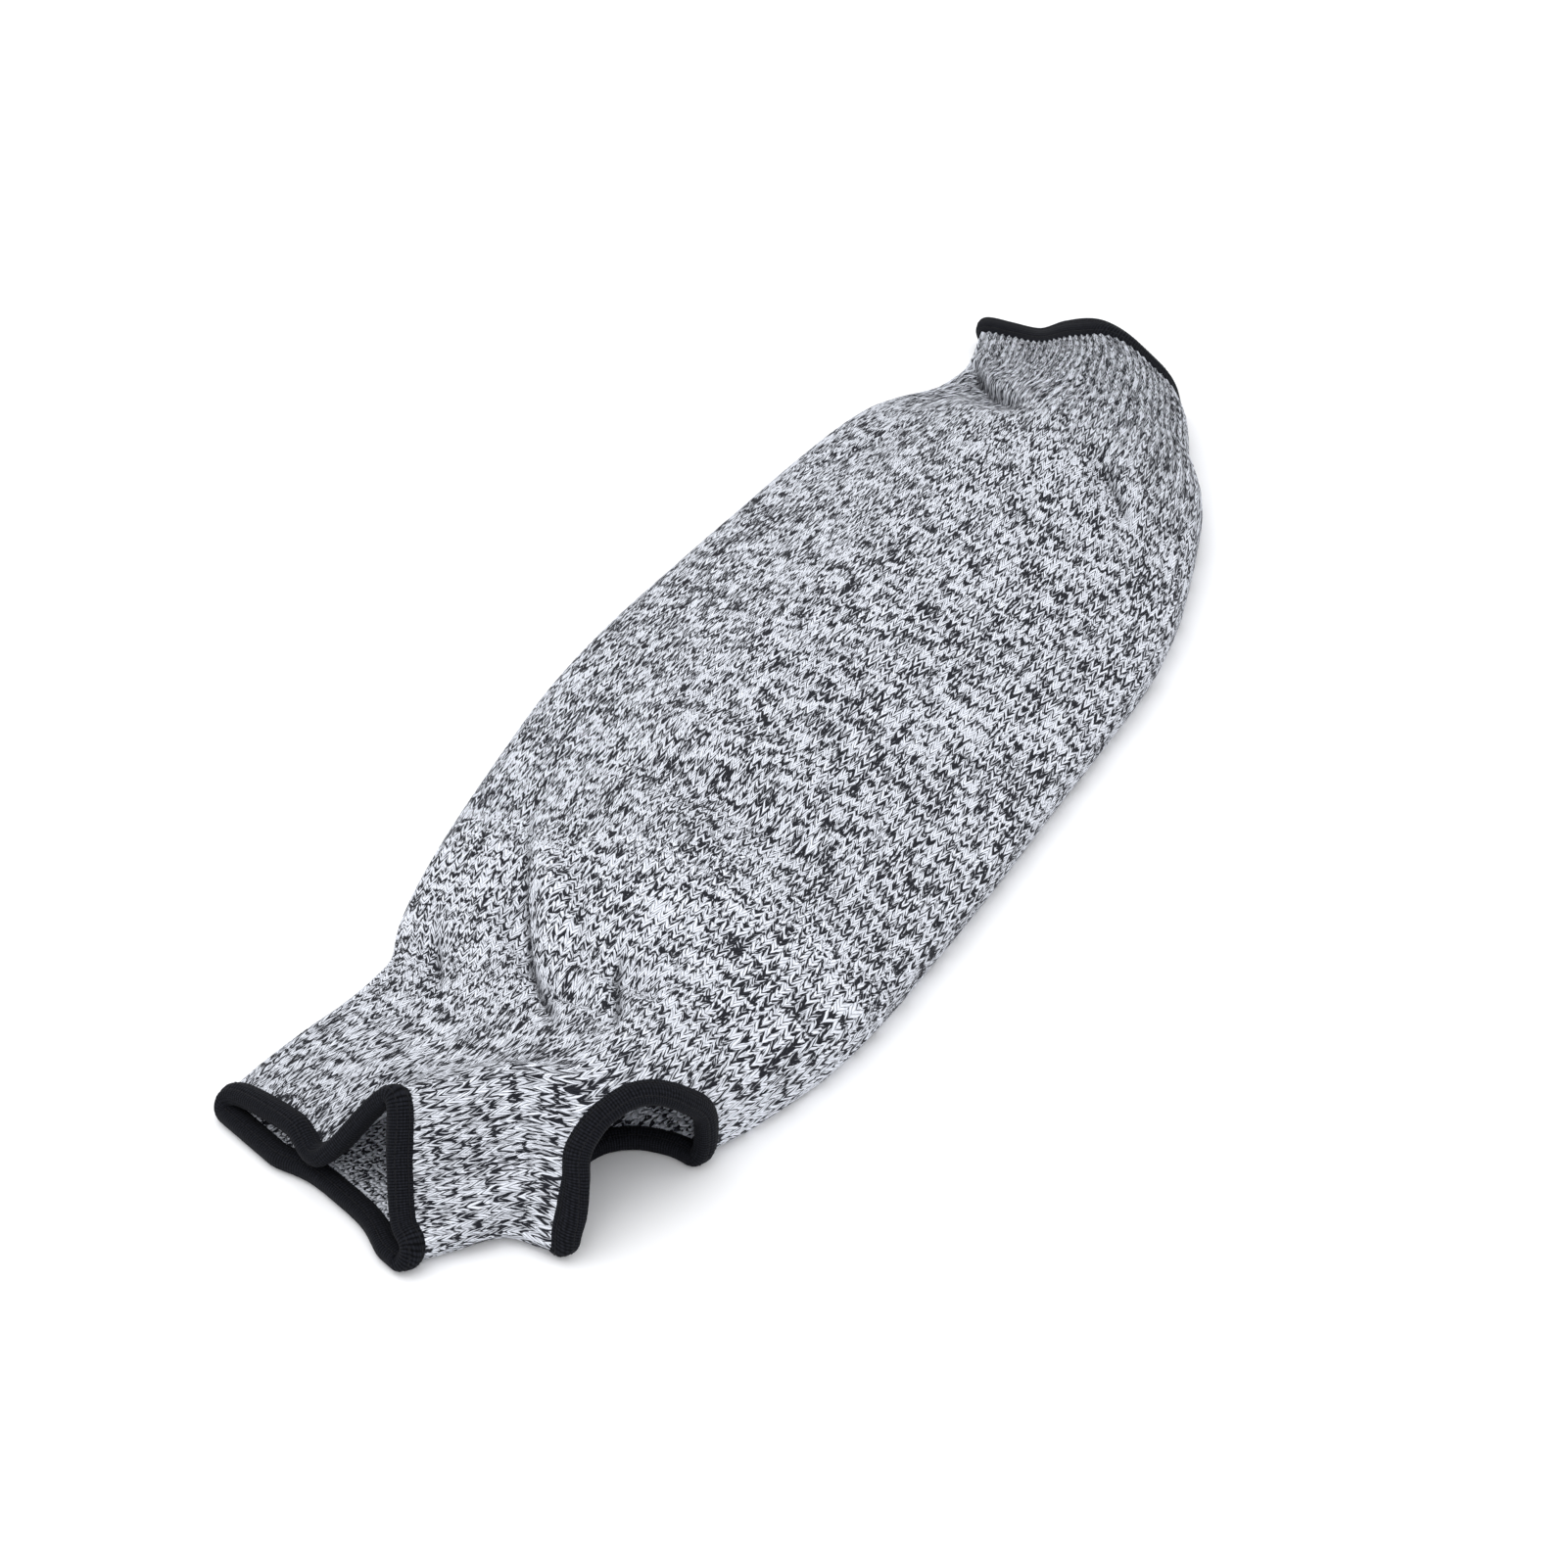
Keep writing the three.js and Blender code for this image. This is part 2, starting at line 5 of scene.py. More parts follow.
import bpy
import numpy as np
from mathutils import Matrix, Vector


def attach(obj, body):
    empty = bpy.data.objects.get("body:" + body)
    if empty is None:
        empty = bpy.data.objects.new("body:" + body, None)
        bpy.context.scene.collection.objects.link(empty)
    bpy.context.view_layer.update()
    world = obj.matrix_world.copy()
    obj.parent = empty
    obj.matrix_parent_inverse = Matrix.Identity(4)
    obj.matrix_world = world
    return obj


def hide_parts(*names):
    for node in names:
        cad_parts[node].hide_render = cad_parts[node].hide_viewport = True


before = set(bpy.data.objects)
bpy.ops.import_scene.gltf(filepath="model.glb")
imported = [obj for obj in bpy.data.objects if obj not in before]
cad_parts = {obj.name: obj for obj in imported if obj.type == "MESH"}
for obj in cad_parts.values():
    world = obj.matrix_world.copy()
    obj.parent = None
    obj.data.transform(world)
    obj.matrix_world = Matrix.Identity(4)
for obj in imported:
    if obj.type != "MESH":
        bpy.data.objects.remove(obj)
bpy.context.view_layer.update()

bl_info = {
    "name": "Cut resistant sleeve",
    "version": (1, 0, 0),
    "blender": (4, 5, 0),
    "location": "View3D > Sidebar > Sleeve",
    "description": "Builds the knitted sleeve, its sewn bands and a plain studio",
    "category": "Object",
}

# Outline seen from above. Where each section's far and near folds lie:
# x as a share of the sleeve length, y as a share of half the body width.
OUTLINE_COLUMNS = ("far_x", "far_y", "near_x", "near_y")
OUTLINE = (
    (-0.463, 0.752, -0.512, -0.184),
    (-0.424, 0.728, -0.480, -0.312),
    (-0.391, 0.702, -0.458, -0.436),
    (-0.362, 0.664, -0.451, -0.616),
    (-0.336, 0.638, -0.402, -0.697),
    (-0.311, 0.634, -0.340, -0.785),
    (-0.282, 0.709, -0.293, -0.862),
    (-0.247, 0.769, -0.244, -0.934),
    (-0.196, 0.834, -0.191, -0.962),
    (-0.127, 0.903, -0.127, -0.965),
    (-0.044, 0.972, -0.044, -0.960),
    (0.033, 0.992, 0.033, -0.944),
    (0.124, 0.970, 0.124, -0.930),
    (0.200, 0.945, 0.191, -0.909),
    (0.262, 0.924, 0.249, -0.850),
    (0.318, 0.894, 0.298, -0.766),
    (0.351, 0.856, 0.333, -0.697),
    (0.373, 0.792, 0.367, -0.622),
    (0.398, 0.688, 0.396, -0.516),
    (0.422, 0.662, 0.415, -0.428),
    (0.447, 0.659, 0.438, -0.359),
    (0.478, 0.712, 0.464, -0.278),
    (0.507, 0.775, 0.492, -0.146),
)

# Height of the upper layer across each section, as shares of the body height.
# lean is how far the section tips along the sleeve as it rises, near_blunt how soon the near side rises.
HEIGHT_COLUMNS = (
    "along", "fold", "lean", "near_blunt",
    "near_edge", "near_slope", "near_top", "middle", "far_top", "far_edge",
)
HEIGHTS = (
    (0.00, 0.08, 0.60, 0.80, 0.41, 0.78, 1.11, 0.33, 0.37, 0.36),
    (0.06, 0.12, 0.60, 0.60, 0.84, 1.22, 1.03, 0.56, 0.47, 0.41),
    (0.12, 0.16, 0.60, 0.40, 1.31, 1.25, 1.03, 0.78, 0.62, 0.50),
    (0.20, 0.19, 0.35, 0.50, 1.06, 1.09, 1.00, 0.88, 0.75, 0.59),
    (0.30, 0.20, 0.10, 0.70, 0.81, 0.94, 1.00, 0.97, 0.88, 0.69),
    (0.50, 0.20, 0.00, 0.75, 0.75, 0.88, 0.97, 1.00, 0.94, 0.75),
    (0.70, 0.20, 0.00, 0.75, 0.78, 0.94, 1.03, 1.06, 0.97, 0.78),
    (0.85, 0.22, -0.08, 0.70, 0.88, 1.06, 1.12, 1.09, 0.91, 0.66),
    (0.93, 0.23, -0.20, 0.70, 0.91, 1.09, 1.12, 0.97, 0.72, 0.50),
    (1.00, 0.13, -0.38, 0.60, 0.95, 1.06, 1.03, 0.78, 0.47, 0.40),
)
# Where the height columns sit across a section: -1 at the near fold, 1 at the far fold
ACROSS = (-1.0, -0.85, -0.60, -0.35, 0.0, 0.35, 0.70, 1.0)
FAR_BLUNT = 0.8
MOUTH_BOW = {"depth": 0.004, "across": -0.22, "wide": 0.62, "fade": 0.06}
FLAT_SHARE = 0.35
MOUTH_LIFT_SHARE = 0.07

# Folds and dents of the upper layer. x and long as shares of the sleeve length, y as a share of half the
# body width, wide, up and step as shares of the body height, turn in degrees from the sleeve's length.
FOLD_COLUMNS = ("x", "y", "turn", "long", "wide", "up", "step")
FOLDS = (
    (-0.268, 0.22, 37, 0.085, 0.42, 0.02, -0.20),
    (-0.336, -0.14, 58, 0.036, 0.30, -0.03, -0.12),
    (-0.318, -0.34, 41, 0.034, 0.24, -0.09, 0),
    (-0.309, 0.48, 39, 0.028, 0.24, -0.06, 0),
    (-0.322, -0.70, 45, 0.036, 0.26, -0.08, 0),
    (-0.200, -0.17, 30, 0.105, 1.10, 0.09, 0),
    (-0.135, -0.10, 78, 0.140, 0.40, -0.07, 0),
    (-0.080, 0.00, 78, 0.140, 0.45, 0.06, 0),
    (0.100, -0.38, 12, 0.170, 0.60, -0.06, 0),
    (0.140, 0.42, -8, 0.130, 0.55, -0.05, 0),
    (0.372, 0.30, 53, 0.055, 0.40, -0.17, 0),
    (0.318, -0.32, 15, 0.036, 0.24, -0.10, 0),
)

# Sharp creases of the upper layer, each a path of places with its depth there: x as a share of the sleeve
# length, y as a share of half the body width, deep in metres. wide is half the crease's width in metres and
# lift how much the cloth on its near side is pushed up, as a share of the depth.
CREASES = (
    {"wide": 0.0042, "lift": 0.45, "path": (
        (-0.105, 0.64, 0.0), (-0.173, 0.555, 0.0010), (-0.248, 0.302, 0.0030), (-0.300, 0.090, 0.0040),
        (-0.336, -0.129, 0.0028), (-0.352, -0.22, 0.0))},
    {"wide": 0.0036, "lift": 0.20, "path": (
        (-0.262, 0.63, 0.0), (-0.310, 0.437, 0.0026), (-0.342, 0.30, 0.0))},
    {"wide": 0.0045, "lift": 0.35, "path": (
        (-0.262, -0.15, 0.0), (-0.290, -0.24, 0.0026), (-0.325, -0.36, 0.0030), (-0.352, -0.45, 0.0))},
    {"wide": 0.0040, "lift": 0.0, "path": (
        (-0.225, -0.66, 0.0), (-0.250, -0.84, 0.0018), (-0.268, -0.95, 0.0))},
    {"wide": 0.0040, "lift": 0.25, "path": (
        (-0.330, -0.71, 0.0), (-0.350, -0.836, 0.0026), (-0.365, -0.93, 0.0))},
    {"wide": 0.0040, "lift": 0.25, "path": (
        (0.438, 0.61, 0.0020), (0.420, 0.54, 0.0040), (0.400, 0.44, 0.0044), (0.378, 0.30, 0.0026),
        (0.352, 0.12, 0.0))},
    {"wide": 0.0042, "lift": 0.10, "path": (
        (0.328, -0.26, 0.0), (0.300, -0.44, 0.0026), (0.272, -0.62, 0.0))},
    {"wide": 0.0042, "lift": -0.25, "path": (
        (0.215, 0.80, 0.0), (0.270, 0.70, 0.0016), (0.320, 0.56, 0.0016), (0.350, 0.44, 0.0))},
    {"wide": 0.0040, "lift": 0.0, "path": (
        (0.262, 0.30, 0.0), (0.304, 0.214, 0.0015), (0.338, 0.13, 0.0))},
)

# Cut edge of the thumb hole on the cloth: share of the length, and share of the girth counted from the
# middle of the underside over the far fold, the top and the near fold.
THUMB_HOLE = (
    (0.0960, 0.782), (0.0930, 0.752), (0.0895, 0.719), (0.0885, 0.692), (0.0925, 0.671), (0.1010, 0.655),
    (0.1140, 0.654), (0.1290, 0.671), (0.1460, 0.698), (0.1600, 0.727), (0.1670, 0.763), (0.1690, 0.802),
    (0.1670, 0.828), (0.1610, 0.854), (0.1500, 0.872), (0.1350, 0.874), (0.1190, 0.857), (0.1050, 0.826),
)
HOLE_RISE = {"x": -0.400, "y": -0.56, "long": 0.115, "wide": 0.52, "level": 0.6}

# How finely the cloth is meshed. The columns are whole numbers of ribs.
SECTION_STEPS = 360
COLUMNS_PER_RIB = 4
CLOTH_ROWS = 276
# Steps along and round the cloth over which its directions are measured, as shares
NEAR_ALONG = 0.004
NEAR_ROUND = 0.006
# Painted shade along the creases: half the width of its dark painted line, in metres, and the crease depth at which the
# painted shade is darkest
CREASE_SHADE_HALF_WIDTH = 0.0021
CREASE_SHADE_FULL_DEPTH = 0.003
# The mesh leaves this much more than the thumb hole open, under its band
HOLE_CLEARANCE = 1.06

# The bands: steps round their loops and sections, and the powers that square their sections off
LOOP_STEPS = 720
BAND_STEPS = 300
BAND_PROFILE_STEPS = 36
BAND_SQUARE_ACROSS = 0.8
BAND_SQUARE_THROUGH = 0.62
UPPER_BAND_WIDER = 1.2
# Rows of sewing across a band, -0.5 at its inner edge and 0.5 at its outer edge, and the thread's size
SEWING_ROWS = (-0.30, 0.20)
SEWING_RADIUS = 0.00026
SEWING_STEPS = 6

# The knit's stitches for one rib and one course of the knit coordinates. Leg_Slope is how steep a stitch's legs
# are, and the inside shows flatter loops.
HAND_STITCHES = {"Wales": 1.35, "Courses": 0.90, "Leg_Slope": 3.0, "Fleck_Length": 1.0, "Seed": 7.0}
BODY_STITCHES = {"Wales": 1.9, "Courses": 0.86, "Leg_Slope": 3.3, "Fleck_Length": 1.2, "Seed": 31.0}
INSIDE_SLOPE = 0.9
# Pitches of the bands' elastic, along and across them, in metres
ELASTIC_RIB = 0.0008
ELASTIC_CROSS = 0.0007


class SleeveSizes(bpy.types.PropertyGroup):
    """Lengths and counts of the sleeve"""

    length: bpy.props.FloatProperty(
        name="Length", description="Along the middle of the cloth, mouth to mouth",
        default=0.45, min=0.3, max=0.7, unit="LENGTH",
    )
    body_width: bpy.props.FloatProperty(
        name="Body width", description="Widest part of the sleeve lying flat",
        default=0.16, min=0.1, max=0.25, unit="LENGTH",
    )
    body_height: bpy.props.FloatProperty(
        name="Body height", description="How high the loose body bulges",
        default=0.032, min=0.015, max=0.06, unit="LENGTH",
    )
    cloth: bpy.props.FloatProperty(
        name="Cloth thickness", description="Thickness of the knitted wall",
        default=0.002, min=0.001, max=0.003, unit="LENGTH",
    )
    band_width: bpy.props.FloatProperty(
        name="Band width", description="Black band, measured along the cloth",
        default=0.007, min=0.004, max=0.012, unit="LENGTH",
    )
    band_thickness: bpy.props.FloatProperty(
        name="Band thickness", description="Black band, measured through the cloth",
        default=0.0054, min=0.003, max=0.008, unit="LENGTH",
    )
    band_overhang: bpy.props.FloatProperty(
        name="Band overhang", description="Band beyond the cut edge of the cloth",
        default=0.0015, min=0.0005, max=0.003, unit="LENGTH",
    )
    rest_gap: bpy.props.FloatProperty(
        name="Band above the table", description="Room between the bands and the table",
        default=0.0001, min=0.0, max=0.001, precision=5, unit="LENGTH",
    )
    ribs: bpy.props.IntProperty(
        name="Ribs", description="Ribs round each cuff", default=66, min=40, max=90,
    )
    rib_height: bpy.props.FloatProperty(
        name="Rib height", description="How far the ribs of the upper cuff stand up",
        default=0.0007, min=0.0, max=0.002, precision=5, unit="LENGTH",
    )
    courses: bpy.props.IntProperty(
        name="Courses", description="Rows of stitches from mouth to mouth", default=250, min=100, max=500,
    )
    sewing_pitch: bpy.props.FloatProperty(
        name="Sewing pitch", description="Length of one stitch of the bands' sewing",
        default=0.0013, min=0.001, max=0.006, precision=5, unit="LENGTH",
    )


class SleeveColours(bpy.types.PropertyGroup):
    """Colours of the yarns and of the studio"""

    light_yarn: bpy.props.FloatVectorProperty(
        name="Light yarn", description="Colour of the pale yarn", subtype="COLOR",
        size=3, default=(0.895, 0.925, 1.0), min=0.0, max=1.0,
    )
    # Also the colour of the painted shade in the creases and between the cuffs' ribs
    dark_yarn_and_shade: bpy.props.FloatVectorProperty(
        name="Dark yarn", description="Colour of the dark fibre in the yarn", subtype="COLOR",
        size=3, default=(0.012, 0.013, 0.019), min=0.0, max=1.0,
    )
    dark_share: bpy.props.FloatProperty(
        name="Dark share", description="How much of the yarn is dark", subtype="FACTOR",
        default=0.51, min=0.0, max=1.0,
    )
    band: bpy.props.FloatVectorProperty(
        name="Band", description="Colour of the black bands", subtype="COLOR",
        size=3, default=(0.0013, 0.0014, 0.0019), min=0.0, max=1.0,
    )
    thread: bpy.props.FloatVectorProperty(
        name="Sewing thread", description="Colour of the thread that holds the bands", subtype="COLOR",
        size=3, default=(0.0016, 0.0018, 0.0028), min=0.0, max=1.0,
    )
    floor: bpy.props.FloatVectorProperty(
        name="Floor", description="Colour of the floor", subtype="COLOR",
        size=3, default=(0.95, 0.95, 0.955), min=0.0, max=1.0,
    )


class StudioSettings(bpy.types.PropertyGroup):
    """Camera and light of the studio"""

    camera_place: bpy.props.FloatVectorProperty(
        name="Camera", description="Where the camera stands", subtype="TRANSLATION",
        size=3, default=(-0.8192, -0.4812, 0.7913),
    )
    camera_target: bpy.props.FloatVectorProperty(
        name="Camera target", description="Point that the camera looks at", subtype="TRANSLATION",
        size=3, default=(-0.0087, 0.0011, 0.0),
    )
    focal_length: bpy.props.FloatProperty(
        name="Focal length", description="Focal length in millimetres on a 36 mm sensor",
        default=94.91, min=20.0, max=300.0,
    )
    key_strength: bpy.props.FloatProperty(
        name="Key light", description="Strength of the large overhead light", default=10.5, min=0.0, max=200.0,
    )
    fill_strength: bpy.props.FloatProperty(
        name="Fill light", description="Strength of the light from the side", default=2.6, min=0.0, max=200.0,
    )
    sky_strength: bpy.props.FloatProperty(
        name="Surroundings", description="Strength of the pale surroundings", default=1.12, min=0.0, max=5.0,
    )


def sizes():
    return bpy.context.scene.sleeve_sizes


def colours():
    return bpy.context.scene.sleeve_colours


def columns_of(table, names):
    """A table's columns as arrays, by name"""
    return dict(zip(names, np.array(table, float).T, strict=True))


def smooth_step(value):
    u = np.clip(value, 0.0, 1.0)
    return u * u * (3 - 2 * u)


def curve_weights(places, at):
    """Weights that carry values at a smooth curve's places to the places in at"""
    places = np.asarray(places, float)
    at = np.atleast_1d(np.asarray(at, float))
    count = len(places)
    slopes = np.zeros((count, count))
    for k in range(count):
        before, after = max(k - 1, 0), min(k + 1, count - 1)
        span = places[after] - places[before]
        slopes[k, after] += 1 / span
        slopes[k, before] -= 1 / span
    i = np.clip(np.searchsorted(places, at) - 1, 0, count - 2)
    span = places[i + 1] - places[i]
    u = (at - places[i]) / span
    values = np.eye(count)
    start = (2 * u**3 - 3 * u**2 + 1)[:, None] * values[i]
    start_slope = ((u**3 - 2 * u**2 + u) * span)[:, None] * slopes[i]
    end = (3 * u**2 - 2 * u**3)[:, None] * values[i + 1]
    end_slope = ((u**3 - u**2) * span)[:, None] * slopes[i + 1]
    return start + start_slope + end + end_slope


def outline_places():
    """Share of the length at which each outline row sits"""
    size = sizes()
    table = columns_of(OUTLINE, OUTLINE_COLUMNS)
    middle_x = size.length * (table["far_x"] + table["near_x"]) / 2
    middle_y = size.body_width / 2 * (table["far_y"] + table["near_y"]) / 2
    steps = np.hypot(np.diff(middle_x), np.diff(middle_y))
    places = np.concatenate([[0.0], np.cumsum(steps)])
    return places / places[-1]


def under_rise(along, x, y):
    """Rise of the underside above its flat rest, as a share of the bands' rise"""
    size = sizes()
    from_mouth = np.minimum(along, 1 - along) / MOUTH_LIFT_SHARE
    mouth_part = 1 - smooth_step(from_mouth)
    dx = (x / size.length - HOLE_RISE["x"]) / HOLE_RISE["long"]
    dy = (y / (size.body_width / 2) - HOLE_RISE["y"]) / HOLE_RISE["wide"]
    hole_part = smooth_step((1 - dx * dx - dy * dy) / HOLE_RISE["level"])
    return 1 - (1 - mouth_part) * (1 - hole_part)


def fold_rise(x, y):
    """Height added by the table of folds at places seen from above"""
    size = sizes()
    rise = np.zeros_like(x)
    for row in FOLDS:
        fold = dict(zip(FOLD_COLUMNS, row, strict=True))
        angle = math.radians(fold["turn"])
        dx = x - fold["x"] * size.length
        dy = y - fold["y"] * size.body_width / 2
        a = (dx * math.cos(angle) + dy * math.sin(angle)) / (fold["long"] * size.length)
        b = (dy * math.cos(angle) - dx * math.sin(angle)) / (fold["wide"] * size.body_height)
        r2 = np.minimum(a * a + b * b, 1.0)
        rise += (1 - r2) ** 2 * (fold["up"] + fold["step"] * 2 * b) * size.body_height
    return rise


def crease_rise(x, y):
    """Height taken away or added by the sharp creases at places seen from above, and the painted shade along their
    lines
    """
    size = sizes()
    scale = np.array([size.length, size.body_width / 2])
    rise = np.zeros_like(x)
    crease_shade = np.zeros_like(x)
    places = np.stack([x, y], -1)
    for crease in CREASES:
        path = np.array(crease["path"])
        nearest = np.full(x.shape, np.inf)
        deep = np.zeros_like(x)
        side = np.zeros_like(x)
        for start, end in zip(path[:-1], path[1:], strict=True):
            a, b = start[:2] * scale, end[:2] * scale
            step = b - a
            u = np.clip(((places - a) @ step) / (step @ step), 0, 1)
            off = places - a - u[..., None] * step
            distance = np.linalg.norm(off, axis=-1)
            closer = distance < nearest
            nearest = np.where(closer, distance, nearest)
            deep = np.where(closer, start[2] + u * (end[2] - start[2]), deep)
            side = np.where(closer, np.sign(off[..., 1] * step[0] - off[..., 0] * step[1]), side)
        bank_side = side * np.sign(path[-1, 0] - path[0, 0]) < 0
        b = nearest / crease["wide"]
        valley = np.maximum(1 - b * np.where(bank_side, 1.7, 0.8), 0) ** 1.5
        bank = np.exp(-(((b - 1.2) / 0.9) ** 2)) * np.where(bank_side, 1.0, -0.3)
        rise += deep * (crease["lift"] * bank - valley)
        # Painted shade: darkest on a crease's line where the crease is deep, fading out across the shade's half width
        crease_shade = np.maximum(crease_shade, np.minimum(deep / CREASE_SHADE_FULL_DEPTH, 1) * np.maximum(1 - nearest / CREASE_SHADE_HALF_WIDTH, 0))
    return rise, crease_shade


def cloth_sections(along):
    """Closed sections of the cloth's middle surface and their running girths, a row for each share of length"""
    size = sizes()
    along = np.atleast_1d(along)
    weights = curve_weights(outline_places(), along)
    ends = {name: weights @ column for name, column in columns_of(OUTLINE, OUTLINE_COLUMNS).items()}
    far = np.stack([size.length * ends["far_x"], size.body_width / 2 * ends["far_y"]], -1)
    near = np.stack([size.length * ends["near_x"], size.body_width / 2 * ends["near_y"]], -1)
    chord = far - near
    lengthwise = np.stack([chord[:, 1], -chord[:, 0]], -1)
    lengthwise /= np.linalg.norm(lengthwise, axis=1, keepdims=True)

    table = columns_of(HEIGHTS, HEIGHT_COLUMNS)
    weights = curve_weights(table["along"], along)
    at = {name: (weights @ column)[:, None] for name, column in table.items()}
    tops = np.concatenate([at[name] for name in HEIGHT_COLUMNS[4:]], axis=1)
    tops = np.concatenate([tops[:, :1], tops, tops[:, -1:]], axis=1)

    angle = (2 * np.arange(SECTION_STEPS + 1) / SECTION_STEPS - 0.5) * math.pi
    across, side = np.cos(angle)[None], np.sin(angle)[None]
    x = near[:, :1] + chord[:, :1] * (across + 1) / 2
    y = near[:, 1:] + chord[:, 1:] * (across + 1) / 2
    half_cloth = size.cloth / 2
    band_rise = size.band_thickness / 2 - half_cloth + size.rest_gap
    floor_z = half_cloth + band_rise * under_rise(along[:, None], x, y)
    fold_z = floor_z + at["fold"] * size.body_height

    up = np.maximum(side, 0.0)
    blunt = at["near_blunt"] + (FAR_BLUNT - at["near_blunt"]) * smooth_step((across + 0.6) / 1.2)
    top = (tops @ curve_weights(ACROSS, across[0]).T) * size.body_height
    top = top + fold_rise(x, y) * smooth_step(2 * up)
    reach = 1 - np.minimum(-side / FLAT_SHARE, 1.0)
    z = np.where(side >= 0, fold_z + (top - fold_z) * up**blunt, floor_z + (fold_z - floor_z) * reach**2)

    bow_place = (across - MOUTH_BOW["across"]) / MOUTH_BOW["wide"]
    bow = np.where(side < 0, MOUTH_BOW["depth"] * smooth_step(1 - bow_place**2) * smooth_step(-2 * side), 0.0)
    shift = at["lean"] * (z - at["fold"] * size.body_height - half_cloth)
    shift = shift + bow * (1 - smooth_step(along[:, None] / MOUTH_BOW["fade"]))
    points = np.stack([x + lengthwise[:, :1] * shift, y + lengthwise[:, 1:] * shift, z], -1)
    steps = np.linalg.norm(np.diff(points, axis=1), axis=2)
    girth = np.concatenate([np.zeros((len(along), 1)), np.cumsum(steps, axis=1)], axis=1)
    return points, girth


def place_on(along, share):
    """Points of the middle surface, for paired arrays of shares of the length and of the girth"""
    along, share = np.broadcast_arrays(np.asarray(along, float), np.asarray(share, float))
    flat_along = np.clip(along, 0, 1).ravel().round(7)
    flat_share = (share % 1.0).ravel()
    rows, row_of = np.unique(flat_along, return_inverse=True)
    points, girth = cloth_sections(rows)
    found = np.empty((len(flat_along), 3))
    order = np.argsort(row_of, kind="stable")
    edges = np.searchsorted(row_of[order], np.arange(len(rows) + 1))
    for i in range(len(rows)):
        picked = order[edges[i]:edges[i + 1]]
        wanted = flat_share[picked] * girth[i, -1]
        for axis in range(3):
            found[picked, axis] = np.interp(wanted, girth[i], points[i, :, axis])
    return found.reshape(along.shape + (3,))


def unit(vectors):
    return vectors / np.maximum(np.linalg.norm(vectors, axis=-1, keepdims=True), 1e-12)


def frames_on(along, share):
    """Points of the cloth with its own directions there: along the sleeve and outward"""
    low, high = np.maximum(along - NEAR_ALONG, 0), np.minimum(along + NEAR_ALONG, 1)
    lengthwise = unit(place_on(high, share) - place_on(low, share))
    around = unit(place_on(along, share + NEAR_ROUND) - place_on(along, share - NEAR_ROUND))
    return place_on(along, share), lengthwise, unit(-np.cross(lengthwise, around))


def frames_after(along, share, move):
    """Points and directions reached from places on the cloth by moving along its surface, past a mouth too"""
    low, high = np.maximum(along - NEAR_ALONG, 0), np.minimum(along + NEAR_ALONG, 1)
    per_along = (place_on(high, share) - place_on(low, share)) / (high - low)[..., None]
    per_round = (place_on(along, share + NEAR_ROUND) - place_on(along, share - NEAR_ROUND)) / (2 * NEAR_ROUND)
    aa = (per_along * per_along).sum(-1)
    ar = (per_along * per_round).sum(-1)
    rr = (per_round * per_round).sum(-1)
    ma = (move * per_along).sum(-1)
    mr = (move * per_round).sum(-1)
    det = aa * rr - ar * ar
    new_along = along + (ma * rr - mr * ar) / det
    new_share = share + (mr * aa - ma * ar) / det
    inside = np.clip(new_along, 0, 1)
    points, lengthwise, outward = frames_on(inside, new_share)
    points = points + lengthwise * ((new_along - inside) * np.sqrt(aa))[..., None]
    return points, outward


def hole_loop(count):
    """The thumb hole's cut edge as evenly stepped places on the cloth"""
    table = np.array(THUMB_HOLE)
    rows = len(table)
    t = np.arange(count) * rows / count
    i = t.astype(int)
    u = (t - i)[:, None]
    p = [table[(i + k - 1) % rows] for k in range(4)]
    return 0.5 * (2 * p[1] + (p[2] - p[0]) * u + (2 * p[0] - 5 * p[1] + 4 * p[2] - p[3]) * u**2
                  + (3 * p[1] - p[0] - 3 * p[2] + p[3]) * u**3)


def inside_loop(along, share, loop):
    """Which places lie inside a closed loop of places"""
    inside = np.zeros(along.shape, bool)
    for (a0, s0), (a1, s1) in zip(loop, np.roll(loop, -1, axis=0), strict=True):
        crosses = (s0 > share) != (s1 > share)
        inside ^= crosses & (along < a0 + (share - s0) * (a1 - a0) / (s1 - s0 + 1e-15))
    return inside


def new_mesh_object(name, points, faces, smooth=True):
    mesh = bpy.data.meshes.new(name)
    mesh.from_pydata(np.asarray(points).tolist(), [], [list(map(int, face)) for face in faces])
    mesh.validate()
    mesh.update()
    if smooth:
        mesh.shade_smooth()
    obj = bpy.data.objects.new(name, mesh)
    bpy.context.scene.collection.objects.link(obj)
    return obj


# Materials


